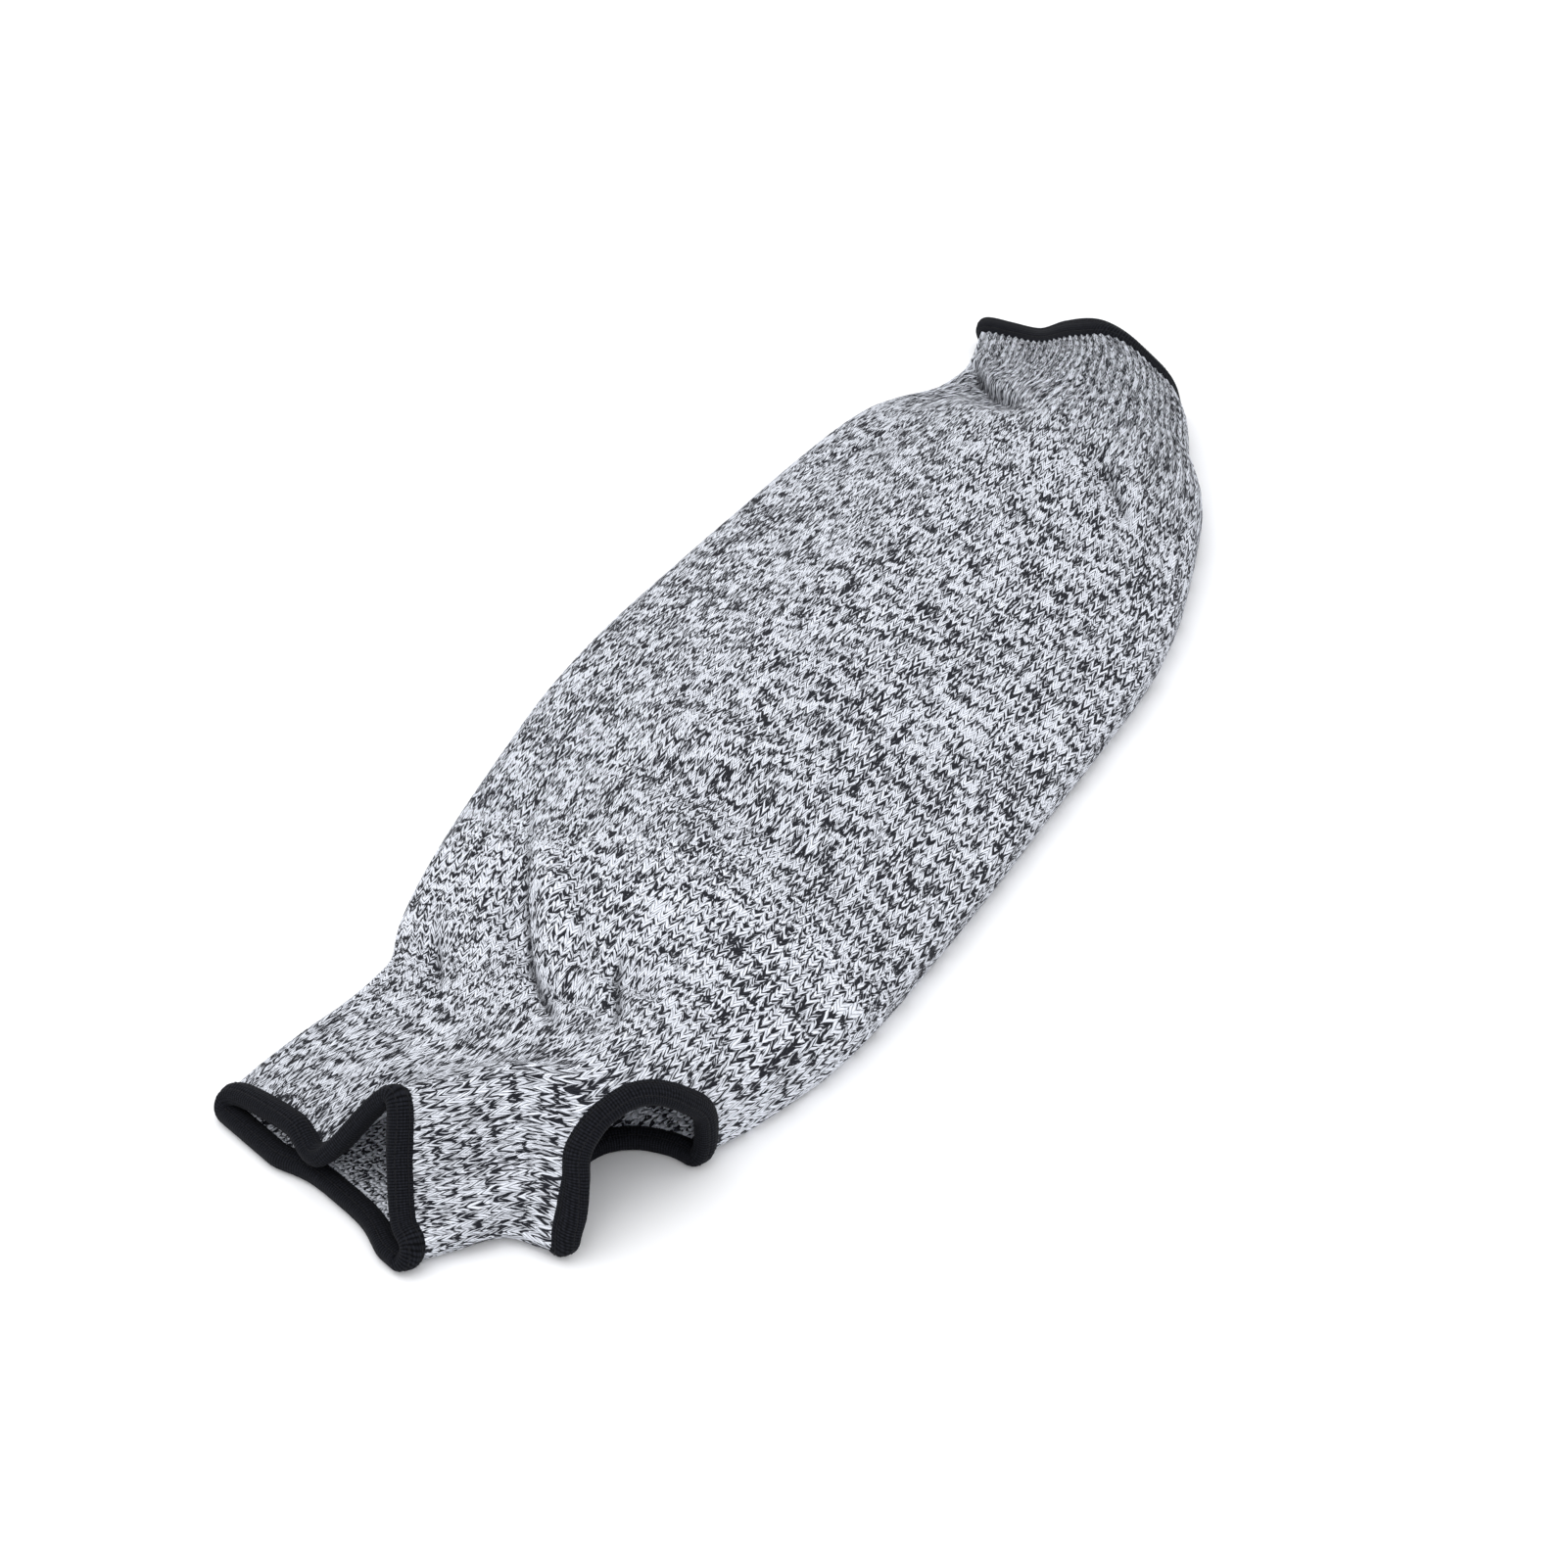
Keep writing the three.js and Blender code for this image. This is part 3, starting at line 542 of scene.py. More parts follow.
class NodeTree:
    """Short calls for building node trees"""

    def __init__(self, tree):
        self.tree = tree

    def add(self, kind, settings=None, **values):
        node = self.tree.nodes.new(kind)
        for name, value in (settings or {}).items():
            setattr(node, name, value)
        for name, value in values.items():
            self.feed(node.inputs[name.replace("_", " ")], value)
        return node

    def feed(self, socket, value):
        if isinstance(value, bpy.types.NodeSocket):
            self.tree.links.new(value, socket)
        else:
            socket.default_value = value

    def math(self, operation, *values):
        node = self.tree.nodes.new("ShaderNodeMath")
        node.operation = operation
        for socket, value in zip(node.inputs, values, strict=False):
            self.feed(socket, value)
        return node.outputs[0]

    def mix(self, factor, first, second, blend="MIX"):
        node = self.tree.nodes.new("ShaderNodeMix")
        node.data_type = "RGBA"
        node.blend_type = blend
        self.feed(node.inputs[0], factor)
        self.feed(node.inputs[6], first)
        self.feed(node.inputs[7], second)
        return node.outputs[2]

    def blend(self, factor, first, second):
        node = self.tree.nodes.new("ShaderNodeMix")
        node.data_type = "FLOAT"
        self.feed(node.inputs[0], factor)
        self.feed(node.inputs[2], first)
        self.feed(node.inputs[3], second)
        return node.outputs[0]

    def ramp(self, value, low, high, low_out=0.0, high_out=1.0, smooth=True):
        node = self.tree.nodes.new("ShaderNodeMapRange")
        node.interpolation_type = "SMOOTHSTEP" if smooth else "LINEAR"
        for socket, number in zip(node.inputs, (value, low, high, low_out, high_out), strict=False):
            self.feed(socket, number)
        return node.outputs[0]

    def combine(self, x, y, z):
        return self.add("ShaderNodeCombineXYZ", X=x, Y=y, Z=z).outputs[0]

    def wave(self, value, pitch):
        """A sine from 0 to 1"""
        turn = self.math("SINE", self.math("MULTIPLY", value, 2 * math.pi / pitch))
        return self.math("ADD", self.math("MULTIPLY", turn, 0.5), 0.5)

    def noise(self, vector, scale, detail=0.0, roughness=0.5):
        node = self.add("ShaderNodeTexNoise", Vector=vector, Scale=scale, Detail=detail, Roughness=roughness)
        return node.outputs["Fac"]


def new_group(name, inputs, outputs):
    """A shader node group with named sockets: its NodeTree, and the sockets of its input and output nodes"""
    tree = bpy.data.node_groups.new(name, "ShaderNodeTree")
    for socket, (kind, default) in inputs.items():
        item = tree.interface.new_socket(name=socket, in_out="INPUT", socket_type=kind)
        if default is not None:
            item.default_value = default
    for socket, kind in outputs.items():
        tree.interface.new_socket(name=socket, in_out="OUTPUT", socket_type=kind)
    return NodeTree(tree), tree.nodes.new("NodeGroupInput").outputs, tree.nodes.new("NodeGroupOutput").inputs


def stitch_group():
    """Heathered jersey stitches: height and dark fibre from knit coordinates (wales, courses)"""
    if "Jersey stitches" in bpy.data.node_groups:
        return bpy.data.node_groups["Jersey stitches"]
    t, given, out = new_group(
        "Jersey stitches",
        {
            "Knit Place": ("NodeSocketVector", None),
            "Wales": ("NodeSocketFloat", 1.0),
            "Courses": ("NodeSocketFloat", 1.0),
            "Leg Slope": ("NodeSocketFloat", 2.4),
            "Fleck Length": ("NodeSocketFloat", 1.0),
            "Dark Share": ("NodeSocketFloat", 0.3),
            "Seed": ("NodeSocketFloat", 0.0),
        },
        {"Height": "NodeSocketFloat", "Dark": "NodeSocketFloat", "Tone": "NodeSocketFloat"},
    )
    parts = t.add("ShaderNodeSeparateXYZ", Vector=given["Knit Place"]).outputs
    wobble = t.math("MULTIPLY", t.math("SUBTRACT", t.noise(given["Knit Place"], 0.35, 1.0), 0.5), 1.1)
    wale = t.math("ADD", t.math("MULTIPLY", parts["X"], given["Wales"]), t.math("MULTIPLY", wobble, 0.25))
    course = t.math("ADD", t.math("MULTIPLY", parts["Y"], given["Courses"]), wobble)
    wale_number = t.math("FLOOR", wale)
    across = t.math("SUBTRACT", t.math("SUBTRACT", wale, wale_number), 0.5)
    from_middle = t.math("ABSOLUTE", across)
    side = t.math("SIGN", across)
    leg = t.math("ADD", course, t.math("MULTIPLY", from_middle, given["Leg Slope"]))
    leg_number = t.math("FLOOR", leg)
    leg_part = t.math("SUBTRACT", leg, leg_number)

    rounded = t.math("POWER", t.math("SINE", t.math("MULTIPLY", leg_part, math.pi)), 0.7)
    arch = t.math("SINE", t.math("MULTIPLY", from_middle, 2 * math.pi))
    arch = t.math("POWER", t.math("MAXIMUM", arch, 0.0), 0.5)
    t.feed(out["Height"], t.math("MULTIPLY", rounded, t.math("ADD", t.math("MULTIPLY", arch, 0.65), 0.35)))

    # Each leg of a stitch is its own strand, so its flecks run along it and stop at its edge
    strand = t.math("ADD", t.math("MULTIPLY", wale_number, 3.7), t.math("MULTIPLY", side, 1.9))
    strand = t.math("ADD", strand, given["Seed"])
    run = t.math("MULTIPLY", t.math("DIVIDE", from_middle, given["Fleck Length"]), 1.7)
    across_leg = t.math("ADD", t.math("MULTIPLY", leg_number, 1.37), t.math("MULTIPLY", leg_part, 0.58))
    place = t.combine(run, across_leg, strand)
    fleck = t.noise(place, 1.7, 1.0, 0.45)
    drift_place = t.combine(t.math("MULTIPLY", wale, 0.16), t.math("MULTIPLY", course, 0.12), given["Seed"])
    drift = t.noise(drift_place, 1.0, 1.0)
    limit = t.math("ADD", given["Dark Share"], t.math("MULTIPLY", t.math("SUBTRACT", drift, 0.5), 0.12))
    limit = t.ramp(limit, 0.0, 1.0, 0.25, 0.70, smooth=False)
    dark = t.ramp(fleck, t.math("SUBTRACT", limit, 0.022), t.math("ADD", limit, 0.022), 1.0, 0.0)
    t.feed(out["Dark"], dark)
    t.feed(out["Tone"], t.noise(place, 3.4, 0.0))
    return t.tree


def fibre_group():
    """Fine fibres of a fuzzy thread: a small height and a small change of tone"""
    if "Fibres" in bpy.data.node_groups:
        return bpy.data.node_groups["Fibres"]
    t, given, out = new_group(
        "Fibres",
        {"Place": ("NodeSocketVector", None), "Scale": ("NodeSocketFloat", 900.0), "Stretch": ("NodeSocketFloat", 3.0)},
        {"Height": "NodeSocketFloat", "Tone": "NodeSocketFloat"},
    )
    parts = t.add("ShaderNodeSeparateXYZ", Vector=given["Place"]).outputs
    place = t.combine(t.math("DIVIDE", parts["X"], given["Stretch"]), parts["Y"], parts["Z"])
    fine = t.noise(place, given["Scale"], 2.0, 0.6)
    t.feed(out["Height"], fine)
    t.feed(out["Tone"], t.ramp(fine, 0.3, 0.7, smooth=False))
    return t.tree


def new_material(name):
    """An empty material with its NodeTree and its shader"""
    material = bpy.data.materials.new(name)
    material.use_nodes = True
    material.node_tree.nodes.clear()
    t = NodeTree(material.node_tree)
    shader = t.add("ShaderNodeBsdfPrincipled")
    t.add("ShaderNodeOutputMaterial", Surface=shader.outputs[0])
    return material, t, shader


def group_node(t, tree, **values):
    """Place a shader node group with its own values, and return its outputs"""
    node = t.tree.nodes.new("ShaderNodeGroup")
    node.node_tree = tree
    for name, value in values.items():
        t.feed(node.inputs[name.replace("_", " ")], value)
    return node.outputs


def colour4(colour, times=1.0):
    return (*(times * channel for channel in colour), 1.0)


def knit_material(name, purl):
    """Heather grey knit with painted shade between the stitches. The inside shows the back of the stitches, with
    painted light: fewer dark flecks and less shade.
    """
    colour = colours()
    size = sizes()
    material, t, shader = new_material(name)
    place = t.add("ShaderNodeUVMap", {"uv_map": "Knit"}).outputs[0]
    parts = t.add("ShaderNodeSeparateXYZ", Vector=place).outputs
    along = t.math("DIVIDE", parts["Y"], float(size.courses))
    # The inside gets fewer dark flecks than the outside: painted light inside the tube
    share = colour.dark_share - (0.03 if purl else 0.0)
    flatter = {"Leg_Slope": INSIDE_SLOPE} if purl else {}
    hand = group_node(t, stitch_group(), Knit_Place=place, Dark_Share=share, **{**HAND_STITCHES, **flatter})
    body = group_node(t, stitch_group(), Knit_Place=place, Dark_Share=share + 0.03, **{**BODY_STITCHES, **flatter})

    # The stitches change from the hand's to the body's along a ragged line
    ragged = t.math("MULTIPLY", t.math("SUBTRACT", t.noise(place, 0.5, 2.0), 0.5), 0.16)
    in_body = t.ramp(t.math("ADD", along, ragged), 0.300, 0.304)
    dark = t.blend(in_body, hand["Dark"], body["Dark"])
    height = t.blend(in_body, hand["Height"], t.math("MULTIPLY", body["Height"], 0.8))
    tone = t.blend(in_body, hand["Tone"], body["Tone"])
    light = t.mix(t.ramp(tone, 0.35, 0.65, smooth=False), colour4(colour.light_yarn), colour4(colour.light_yarn, 0.8))
    # Painted shade between the stitches' legs: the light yarn is darkened where the stitch height is low; the inside
    # gets less of it, as painted light inside the tube
    shade = t.ramp(height, 0.0, 0.32, 0.80 if purl else 0.55, 1.0)
    light = t.mix(1.0, light, t.combine(shade, shade, shade), "MULTIPLY")

    # Ribs of the cuffs: painted light on their crests, which get fewer dark flecks, and painted shade in the valleys
    # between them
    rib = t.math("COSINE", t.math("MULTIPLY", parts["X"], 2 * math.pi))
    upper = t.ramp(t.math("ADD", along, t.math("MULTIPLY", ragged, 0.4)), 0.80, 0.88)
    cuff = t.math("ADD", upper, t.math("MULTIPLY", t.ramp(along, 0.18, 0.10), 0.35))
    valley = t.math("MULTIPLY", t.ramp(rib, 0.2, -0.9), cuff)
    rib_crest_painted_light = t.math("MULTIPLY", t.math("MULTIPLY", t.ramp(rib, 0.1, 0.9), upper), 0.18)
    dark = t.math("MULTIPLY", dark, t.math("SUBTRACT", 1.0, rib_crest_painted_light))
    base = t.mix(dark, light, colour4(colour.dark_yarn_and_shade))
    # Painted shade in the rib valleys: mixed half way towards the dark yarn colour
    base = t.mix(t.math("MULTIPLY", valley, 0.50), base, colour4(colour.dark_yarn_and_shade))
    # Painted shade along the creases' lines, mixed towards the dark yarn colour
    crease = t.add("ShaderNodeAttribute", {"attribute_name": "Crease_painted_shade"}).outputs["Fac"]
    base = t.mix(t.math("MULTIPLY", t.ramp(crease, 0.0, 1.0), 0.80), base, colour4(colour.dark_yarn_and_shade))
    t.feed(shader.inputs["Base Color"], base)
    t.feed(shader.inputs["Roughness"], t.ramp(height, 0.0, 1.0, 0.95, 0.78))
    shader.inputs["Specular IOR Level"].default_value = 0.12
    shader.inputs["Sheen Weight"].default_value = 0.05
    shader.inputs["Sheen Roughness"].default_value = 0.5
    bump = t.add("ShaderNodeBump", Strength=1.0, Distance=0.0006, Height=height)
    t.feed(shader.inputs["Normal"], bump.outputs[0])
    return material


def band_material():
    """Black knitted elastic, fine cross ribs"""
    colour = colours()
    material, t, shader = new_material("Black band")
    place = t.add("ShaderNodeUVMap", {"uv_map": "Band"}).outputs[0]
    parts = t.add("ShaderNodeSeparateXYZ", Vector=place).outputs
    fibres = group_node(t, fibre_group(), Place=place, Scale=2200.0, Stretch=2.5)
    rib, cross = t.wave(parts["X"], ELASTIC_RIB), t.wave(parts["Y"], ELASTIC_CROSS)
    weave = t.math("MULTIPLY", t.math("POWER", rib, 0.6), t.math("ADD", t.math("MULTIPLY", cross, 0.5), 0.5))
    height = t.math("ADD", t.math("MULTIPLY", weave, 0.7), t.math("MULTIPLY", fibres["Height"], 0.5))
    # Painted light: the raised threads of the weave are painted up to eleven times lighter than the band, varied at
    # random by the fibres' tone
    raised_painted_light = t.math("MULTIPLY", t.ramp(height, 0.2, 0.9), t.math("ADD", t.math("MULTIPLY", fibres["Tone"], 0.5), 0.5))
    base = t.mix(raised_painted_light, colour4(colour.band), colour4(colour.band, 11.0))
    t.feed(shader.inputs["Base Color"], base)
    t.feed(shader.inputs["Roughness"], t.ramp(height, 0.2, 1.0, 0.95, 0.80))
    shader.inputs["Specular IOR Level"].default_value = 0.08
    shader.inputs["Sheen Weight"].default_value = 0.02
    shader.inputs["Sheen Roughness"].default_value = 0.4
    bump = t.add("ShaderNodeBump", Strength=0.8, Distance=0.00015, Height=height)
    t.feed(shader.inputs["Normal"], bump.outputs[0])
    return material


def thread_material():
    """Twisted polyester sewing thread"""
    colour = colours()
    material, t, shader = new_material("Sewing thread")
    place = t.add("ShaderNodeTexCoord").outputs["Object"]
    fibres = group_node(t, fibre_group(), Place=place, Scale=3500.0, Stretch=1.0)
    base = t.mix(fibres["Tone"], colour4(colour.thread), colour4(colour.thread, 2.2))
    t.feed(shader.inputs["Base Color"], base)
    t.feed(shader.inputs["Roughness"], t.ramp(fibres["Height"], 0.2, 0.8, 0.7, 0.85))
    shader.inputs["Specular IOR Level"].default_value = 0.25
    bump = t.add("ShaderNodeBump", Strength=0.4, Distance=0.00006, Height=fibres["Height"])
    t.feed(shader.inputs["Normal"], bump.outputs[0])
    return material


def floor_material():
    """Matte white studio paper"""
    colour = colours()
    material, t, shader = new_material("Studio floor")
    place = t.add("ShaderNodeTexCoord").outputs["Object"]
    grain = t.noise(place, 60.0, 2.0)
    base = t.mix(t.ramp(grain, 0.3, 0.7), colour4(colour.floor), colour4(colour.floor, 0.99))
    t.feed(shader.inputs["Base Color"], base)
    shader.inputs["Roughness"].default_value = 0.9
    shader.inputs["Specular IOR Level"].default_value = 0.1
    return material


# Pieces


def cuff_share(along):
    """How strongly the ribs show: full in the upper cuff, faint in the hand cuff, none in the body"""
    upper = smooth_step((along - 0.84) / 0.05)
    hand = 0.45 * (1 - smooth_step((along - 0.10) / 0.08))
    return upper + hand


def grid_faces(rows, columns, keep, first, flip):
    """Quads of a tube's face, leaving out the cells that keep leaves out"""
    i, j = np.nonzero(keep)
    a = first + i * columns + j
    b = first + i * columns + (j + 1) % columns
    c = first + (i + 1) * columns + (j + 1) % columns
    d = first + (i + 1) * columns + j
    quads = np.stack([a, b, c, d], -1)
    return quads[:, ::-1] if flip else quads


def make_knit():
    """The knitted tube: a fine outer face, a coarser inner face, and rims at the mouths and the thumb hole"""
    size = sizes()
    columns = size.ribs * COLUMNS_PER_RIB
    rows = CLOTH_ROWS + 1
    along = np.linspace(0, 1, rows)
    share = np.arange(columns) / columns
    along_grid, share_grid = np.broadcast_arrays(along[:, None], share[None])
    middle, _, outward = frames_on(along_grid.copy(), share_grid.copy())
    on_top = smooth_step((outward[..., 2] - 0.15) / 0.3)
    rise, crease_shade = crease_rise(middle[..., 0], middle[..., 1])
    middle = middle + outward * (rise * on_top)[..., None]
    ribs = np.cos(2 * math.pi * share_grid * size.ribs) * cuff_share(along_grid) * size.rib_height / 2
    half = size.cloth / 2
    outer = middle + outward * (half + ribs)[..., None]
    outer[..., 2] = np.maximum(outer[..., 2], 0.0)  # Ribs under the sleeve are pressed flat where it lies
    inner = (middle + outward * (ribs * 0.5 - half)[..., None])[::2, ::2]
    inner_rows, inner_columns = inner.shape[:2]

    coarse_along = (along[:-1:2] + along[2::2]) / 2
    coarse_share = (np.arange(inner_columns) + 0.5) / inner_columns
    cell_along, cell_share = np.broadcast_arrays(coarse_along[:, None], coarse_share[None])
    centre = np.mean(THUMB_HOLE, axis=0)
    loop = hole_loop(72)
    wider = centre + (loop - centre) * HOLE_CLEARANCE
    keep_inner = ~inside_loop(cell_along, cell_share, wider)
    keep_outer = np.repeat(np.repeat(keep_inner, 2, axis=0), 2, axis=1)

    first_inner = rows * columns
    faces = list(grid_faces(rows, columns, keep_outer, 0, False))
    outer_count = len(faces)
    faces += list(grid_faces(inner_rows, inner_columns, keep_inner, first_inner, True))
    inner_count = len(faces) - outer_count

    def outer_id(i, j):
        return i * columns + j % columns

    def inner_id(i, j):
        return first_inner + i * inner_columns + j % inner_columns

    def rim(a, b, flip):
        """Faces between one inner edge and the two outer edges over it"""
        between = outer_id(a[0] + b[0], a[1] + b[1])
        start, end = outer_id(2 * a[0], 2 * a[1]), outer_id(2 * b[0], 2 * b[1])
        near, far = inner_id(*a), inner_id(*b)
        trio = [(start, between, near), (between, far, near), (between, end, far)]
        return [face[::-1] for face in trio] if flip else trio

    rims = []
    last = inner_rows - 1
    for j in range(inner_columns):
        rims += rim((0, j), (0, j + 1), True)
        rims += rim((last, j), (last, j + 1), False)
    for i, j in zip(*np.nonzero(~keep_inner), strict=True):
        around = (((i, j), (i, j + 1), i - 1, j), ((i, j + 1), (i + 1, j + 1), i, j + 1),
                  ((i + 1, j + 1), (i + 1, j), i + 1, j), ((i + 1, j), (i, j), i, j - 1))
        for a, b, ni, nj in around:
            if keep_inner[ni, nj % inner_columns]:
                rims += rim(a, b, False)
    faces += rims
    points = np.concatenate([outer.reshape(-1, 3), inner.reshape(-1, 3)])
    used = np.zeros(len(points), bool)
    for face in faces:
        used[list(face)] = True
    number = np.cumsum(used) - 1
    faces = [tuple(number[list(face)]) for face in faces]
    obj = new_mesh_object("knit", points[used], faces)

    # Painted shade along the creases, on the upper outer face only, kept as a point attribute for the shader
    crease = obj.data.attributes.new("Crease_painted_shade", "FLOAT", "POINT")
    depth = np.concatenate([(crease_shade * on_top).ravel(), np.zeros(inner_rows * inner_columns)])
    crease.data.foreach_set("value", depth[used])

    # Knit coordinates: ribs round the sleeve, courses along it. The seam column runs on past a full turn.
    whole_share = np.concatenate([share_grid.ravel(), share_grid[::2, ::2].ravel()])[used]
    whole_along = np.concatenate([along_grid.ravel(), along_grid[::2, ::2].ravel()])[used]
    corners = np.concatenate([np.asarray(face) for face in faces])
    face_of = np.repeat(np.arange(len(faces)), [len(face) for face in faces])
    corner_share = whole_share[corners]
    low = np.full(len(faces), 2.0)
    np.minimum.at(low, face_of, corner_share)
    high = np.zeros(len(faces))
    np.maximum.at(high, face_of, corner_share)
    wraps = (high - low > 0.5)[face_of]
    corner_share = np.where(wraps & (corner_share < 0.5), corner_share + 1, corner_share)
    corner_along = whole_along[corners]
    knit = obj.data.uv_layers.new(name="Knit")
    knit.uv.foreach_set("vector", np.stack([corner_share * size.ribs, corner_along * size.courses], -1).ravel())
    sheet = obj.data.uv_layers.new(name="OFBake")
    kind = np.repeat([0, 1, 2], [outer_count, inner_count, len(rims)])[face_of]
    along_uv = 0.01 + 0.98 * corner_along
    round_uv = np.choose(kind, [0.01 + 0.60 * corner_share, 0.64 + 0.30 * corner_share, 0.96 + 0.03 * corner_share])
    sheet.uv.foreach_set("vector", np.stack([along_uv, round_uv], -1).ravel())
    knit.active_render = True
    obj.data.uv_layers.active = knit

    obj.data.materials.append(knit_material("Heather knit", False))
    obj.data.materials.append(knit_material("Heather knit inside", True))
    which = np.zeros(len(faces), np.int32)
    which[outer_count:outer_count + inner_count] = 1
    obj.data.polygons.foreach_set("material_index", which)
    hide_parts("knit_tube")
    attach(obj, "root")
    return obj


def directions_away(along, share, away_from):
    """Directions along the surface at an edge loop's places, away from the cloth"""
    points, lengthwise, outward = frames_on(along, share)
    forward = unit(np.roll(points, -1, axis=0) - np.roll(points, 1, axis=0))
    away = unit(np.cross(forward, outward))
    turned = np.sign((away * away_from(points, lengthwise)).sum(-1, keepdims=True))
    return away * turned


def evenly_spaced(along, share, count):
    """The same loop of places, at even steps of length on the cloth"""
    points = place_on(along, share)
    steps = np.linalg.norm(np.roll(points, -1, axis=0) - points, axis=1)
    run = np.concatenate([[0.0], np.cumsum(steps)])
    wanted = np.arange(count) * run[-1] / count
    closed_share = np.concatenate([share, [share[0] + np.round(share[-1] + share[1] - 2 * share[0])]])
    closed_along = np.concatenate([along, along[:1]])
    return np.interp(wanted, run, closed_along), np.interp(wanted, run, closed_share), run[-1]


def band_loops():
    """Name of each band's piece, its CAD node, its share of the band width, and the loop of places it follows"""
    loop = hole_loop(LOOP_STEPS)
    centre = np.mean(THUMB_HOLE, axis=0)
    turn = np.arange(LOOP_STEPS) / LOOP_STEPS
    hand, upper = np.zeros(LOOP_STEPS), np.ones(LOOP_STEPS)
    middle = place_on(centre[0], centre[1])
    return (
        ("hand_band", "hand_binding", 1.0, hand, turn, lambda p, lengthwise: -lengthwise),
        ("thumb_band", "thumb_binding", 1.0, loop[:, 0], loop[:, 1], lambda p, lengthwise: middle - p),
        ("upper_band", "upper_binding", UPPER_BAND_WIDER, upper, turn, lambda p, lengthwise: lengthwise),
    )


def band_pinch(across):
    """Share of the band's thickness kept across it: thinner on the cloth, with a shallow groove at each sewing row"""
    kept = 1 - 0.22 * smooth_step((-2 * across - 0.15) / 0.8)
    for row in SEWING_ROWS:
        kept = kept - 0.09 * np.exp(-(((across - row) / 0.07) ** 2))
    return kept


def band_profile(across):
    """Share of half the band's thickness that its face stands out at a place across it"""
    c = (2 * abs(across)) ** (1 / BAND_SQUARE_ACROSS)
    return (1 - c * c) ** (BAND_SQUARE_THROUGH / 2) * band_pinch(np.array(across))


def make_band(name, node, wider, along, share, away_from):
    """One rounded band that grips the cloth's edge, with a shallow groove for each row of its sewing"""
    size = sizes()
    along, share, length = evenly_spaced(along, share, BAND_STEPS)
    away = directions_away(along, share, away_from)
    band_width = size.band_width * wider
    inset = band_width / 2 - size.band_overhang
    angle = 2 * math.pi * np.arange(BAND_PROFILE_STEPS) / BAND_PROFILE_STEPS
    c, s = np.cos(angle), np.sin(angle)
    wide = np.sign(c) * np.abs(c) ** BAND_SQUARE_ACROSS * band_width / 2
    thick = np.sign(s) * np.abs(s) ** BAND_SQUARE_THROUGH * size.band_thickness / 2 * band_pinch(wide / band_width)
    rings = []
    for w, h in zip(wide, thick, strict=True):
        here, outward = frames_after(along, share, away * (w - inset))
        rings.append(here + outward * h)
    grid = np.stack(rings, axis=1)
    count = len(along)
    i, k = np.meshgrid(np.arange(count), np.arange(BAND_PROFILE_STEPS), indexing="ij")
    i, k = i.ravel(), k.ravel()
    n = BAND_PROFILE_STEPS
    quads = np.stack([i * n + k, (i + 1) % count * n + k, (i + 1) % count * n + (k + 1) % n, i * n + (k + 1) % n], -1)
    normal = np.cross(grid[1, 0] - grid[0, 0], grid[0, 1] - grid[0, 0])
    faces_out = normal @ (grid[0, 0] - grid[0].mean(0)) >= 0
    if not faces_out:
        quads = quads[:, ::-1]
    obj = new_mesh_object(name, grid.reshape(-1, 3), quads)

    # Band coordinates in metres: along the band and round its section
    corners = quads.ravel()
    ring_of, step_of = corners // n, corners % n
    first = quads[:, 0] if faces_out else quads[:, 3]
    ring_of = np.where((ring_of == 0) & (np.repeat(first // n, 4) == count - 1), count, ring_of)
    step_of = np.where((step_of == 0) & (np.repeat(first % n, 4) == n - 1), n, step_of)
    round_length = 2 * (band_width + size.band_thickness) * 0.85
    layer = obj.data.uv_layers.new(name="Band")
    layer.uv.foreach_set("vector", np.stack([ring_of * length / count, step_of * round_length / n], -1).ravel())
    obj.data.materials.append(material_named("Black band", band_material))
    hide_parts(node)
    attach(obj, "root")
    make_sewing(name, along, share, length, away, inset, band_width)
    return obj


def material_named(name, make):
    return bpy.data.materials.get(name) or make()


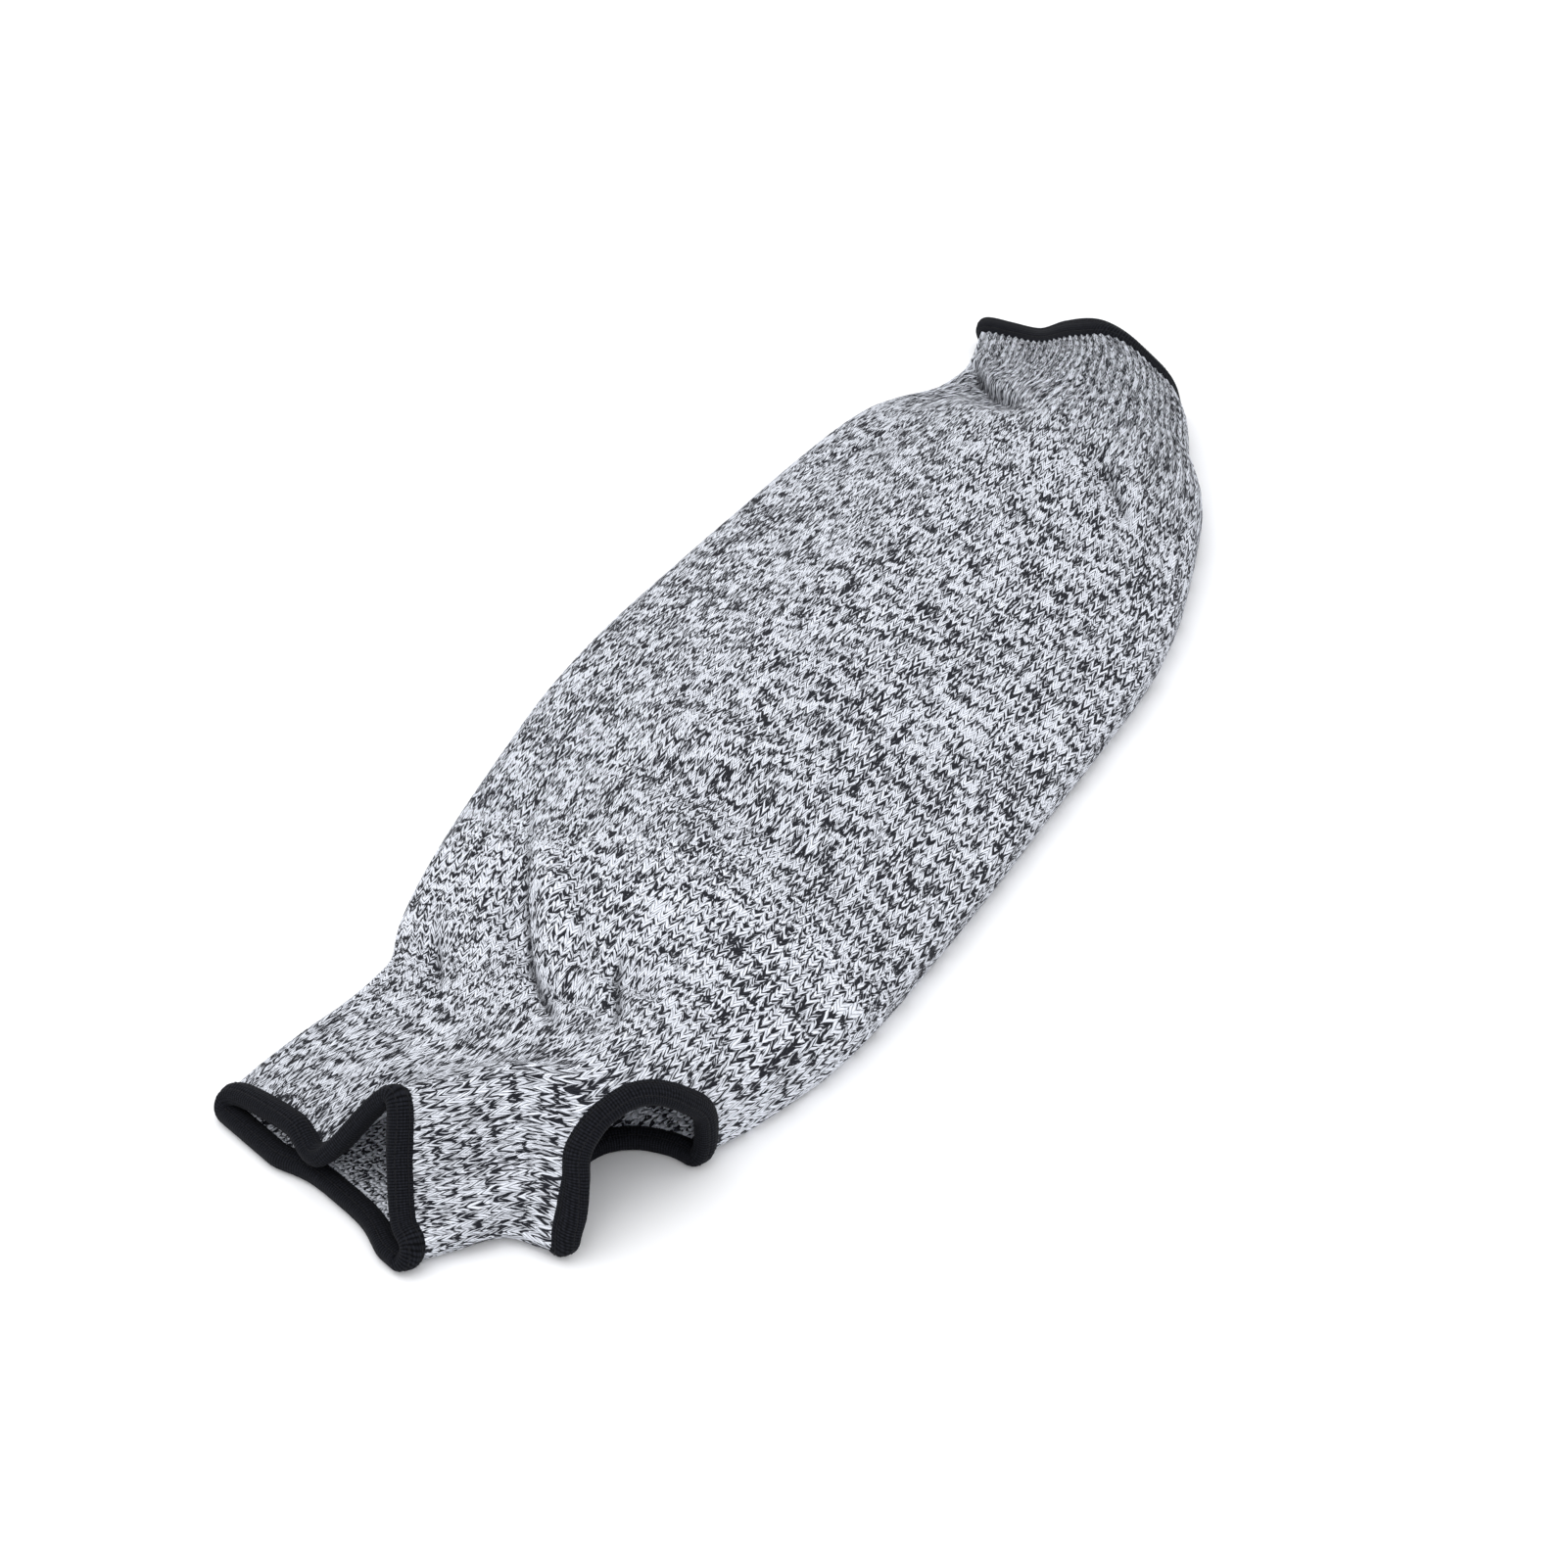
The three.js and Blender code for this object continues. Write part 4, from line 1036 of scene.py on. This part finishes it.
def make_sewing(name, along, share, length, away, inset, band_width):
    """Rows of short thread stitches on both faces of a band, each stitch sunk at its ends"""
    size = sizes()
    total = max(8, int(round(length / size.sewing_pitch))) * SEWING_STEPS
    along, share, _ = evenly_spaced(along, share, total)
    away = resample(away, total)
    phase = (np.arange(total) % SEWING_STEPS + 0.5) / SEWING_STEPS
    lift = np.sin(math.pi * phase)
    blocks, faces = [], []
    for row in SEWING_ROWS:
        points, outward = frames_after(along, share, away * (row * band_width - inset))
        surface = size.band_thickness / 2 * (band_profile(row) - 0.01)
        for face_side in (1, -1):
            height = face_side * (surface + SEWING_RADIUS * (1.5 * lift - 1.3))
            path = points + outward * height[:, None]
            forward = unit(np.roll(path, -1, axis=0) - np.roll(path, 1, axis=0))
            sideways = unit(np.cross(forward, outward))
            upward = np.cross(sideways, forward)
            turns = 2 * math.pi * np.arange(SEWING_STEPS) / SEWING_STEPS
            ring = np.cos(turns)[None, :, None] * sideways[:, None] + np.sin(turns)[None, :, None] * upward[:, None]
            tube = path[:, None] + SEWING_RADIUS * ring
            # Beads under the sleeve are pressed flat where it lies
            tube[..., 2] = np.maximum(tube[..., 2], size.rest_gap)
            n = SEWING_STEPS
            i, k = np.meshgrid(np.arange(total), np.arange(n), indexing="ij")
            i, k = i.ravel(), k.ravel()
            quads = np.stack([i * n + k, i * n + (k + 1) % n, (i + 1) % total * n + (k + 1) % n,
                              (i + 1) % total * n + k], -1)
            normal = np.cross(tube[0, 1] - tube[0, 0], tube[1, 0] - tube[0, 0])
            quads = quads if normal @ (tube[0, 0] - path[0]) > 0 else quads[:, ::-1]
            faces.append(quads + len(blocks) * total * n)
            blocks.append(tube.reshape(-1, 3))
    obj = new_mesh_object(name + "_sewing", np.concatenate(blocks), np.concatenate(faces))
    obj.data.materials.append(material_named("Sewing thread", thread_material))
    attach(obj, "root")
    return obj


def resample(vectors, count):
    old = np.arange(len(vectors) + 1) / len(vectors)
    closed = np.concatenate([vectors, vectors[:1]])
    at = np.arange(count) / count
    return unit(np.stack([np.interp(at, old, closed[:, axis]) for axis in range(3)], -1))


class SLEEVE_OT_knit(bpy.types.Operator):
    """Build the knitted tube of the sleeve"""

    bl_idname = "sleeve.knit"
    bl_label = "Knitted tube"

    def execute(self, context):
        make_knit()
        return {"FINISHED"}


class SLEEVE_OT_bands(bpy.types.Operator):
    """Build the three black bands and their sewing"""

    bl_idname = "sleeve.bands"
    bl_label = "Sewn bands"

    def execute(self, context):
        for row in band_loops():
            make_band(*row)
        return {"FINISHED"}


class SLEEVE_OT_studio(bpy.types.Operator):
    """Build the floor, the lights and the camera"""

    bl_idname = "sleeve.studio"
    bl_label = "Studio"

    def execute(self, context):
        scene = context.scene
        studio = scene.sleeve_studio
        side = 6.0
        corners = [(-side, -side, 0), (side, -side, 0), (side, side, 0), (-side, side, 0)]
        floor = new_mesh_object("floor", corners, [(0, 1, 2, 3)], smooth=False)
        floor.data.materials.append(floor_material())

        lens = bpy.data.cameras.new("camera")
        lens.lens = studio.focal_length
        lens.sensor_width = 36.0
        lens.clip_start = 0.01
        camera = bpy.data.objects.new("camera", lens)
        camera.location = studio.camera_place
        forward = Vector(studio.camera_target) - Vector(studio.camera_place)
        camera.rotation_euler = forward.to_track_quat("-Z", "Y").to_euler()
        scene.collection.objects.link(camera)
        scene.camera = camera

        self.area_light(scene, "key", (-0.10, 0.55, 1.6), 1.6, studio.key_strength)
        self.area_light(scene, "fill", (-1.3, -0.6, 0.9), 1.2, studio.fill_strength)
        world = bpy.data.worlds.new("surroundings")
        world.use_nodes = True
        background = world.node_tree.nodes["Background"]
        background.inputs["Color"].default_value = (0.97, 0.98, 1.0, 1.0)
        background.inputs["Strength"].default_value = studio.sky_strength
        scene.world = world
        scene.view_settings.view_transform = "Standard"
        return {"FINISHED"}

    def area_light(self, scene, name, place, width, power):
        light = bpy.data.lights.new(name, "AREA")
        light.shape = "SQUARE"
        light.size = width
        light.energy = power
        obj = bpy.data.objects.new(name, light)
        obj.location = place
        obj.rotation_euler = (-Vector(place)).to_track_quat("-Z", "Y").to_euler()
        scene.collection.objects.link(obj)


class SLEEVE_PT_panel(bpy.types.Panel):
    """Sizes, colours and steps of the sleeve"""

    bl_label = "Cut resistant sleeve"
    bl_idname = "SLEEVE_PT_panel"
    bl_space_type = "VIEW_3D"
    bl_region_type = "UI"
    bl_category = "Sleeve"

    def draw(self, context):
        layout = self.layout
        for group in (context.scene.sleeve_sizes, context.scene.sleeve_colours, context.scene.sleeve_studio):
            box = layout.box()
            for name in group.__annotations__:
                box.prop(group, name)
        for operator in (SLEEVE_OT_knit, SLEEVE_OT_bands, SLEEVE_OT_studio):
            layout.operator(operator.bl_idname)


CLASSES = (
    SleeveSizes, SleeveColours, StudioSettings,
    SLEEVE_OT_knit, SLEEVE_OT_bands, SLEEVE_OT_studio, SLEEVE_PT_panel,
)


def register():
    for cls in CLASSES:
        bpy.utils.register_class(cls)
    bpy.types.Scene.sleeve_sizes = bpy.props.PointerProperty(type=SleeveSizes)
    bpy.types.Scene.sleeve_colours = bpy.props.PointerProperty(type=SleeveColours)
    bpy.types.Scene.sleeve_studio = bpy.props.PointerProperty(type=StudioSettings)


def unregister():
    del bpy.types.Scene.sleeve_studio
    del bpy.types.Scene.sleeve_colours
    del bpy.types.Scene.sleeve_sizes
    for cls in reversed(CLASSES):
        bpy.utils.unregister_class(cls)


def main():
    register()
    bpy.ops.sleeve.studio()
    bpy.ops.sleeve.knit()
    bpy.ops.sleeve.bands()


if __name__ == "__main__":
    main()
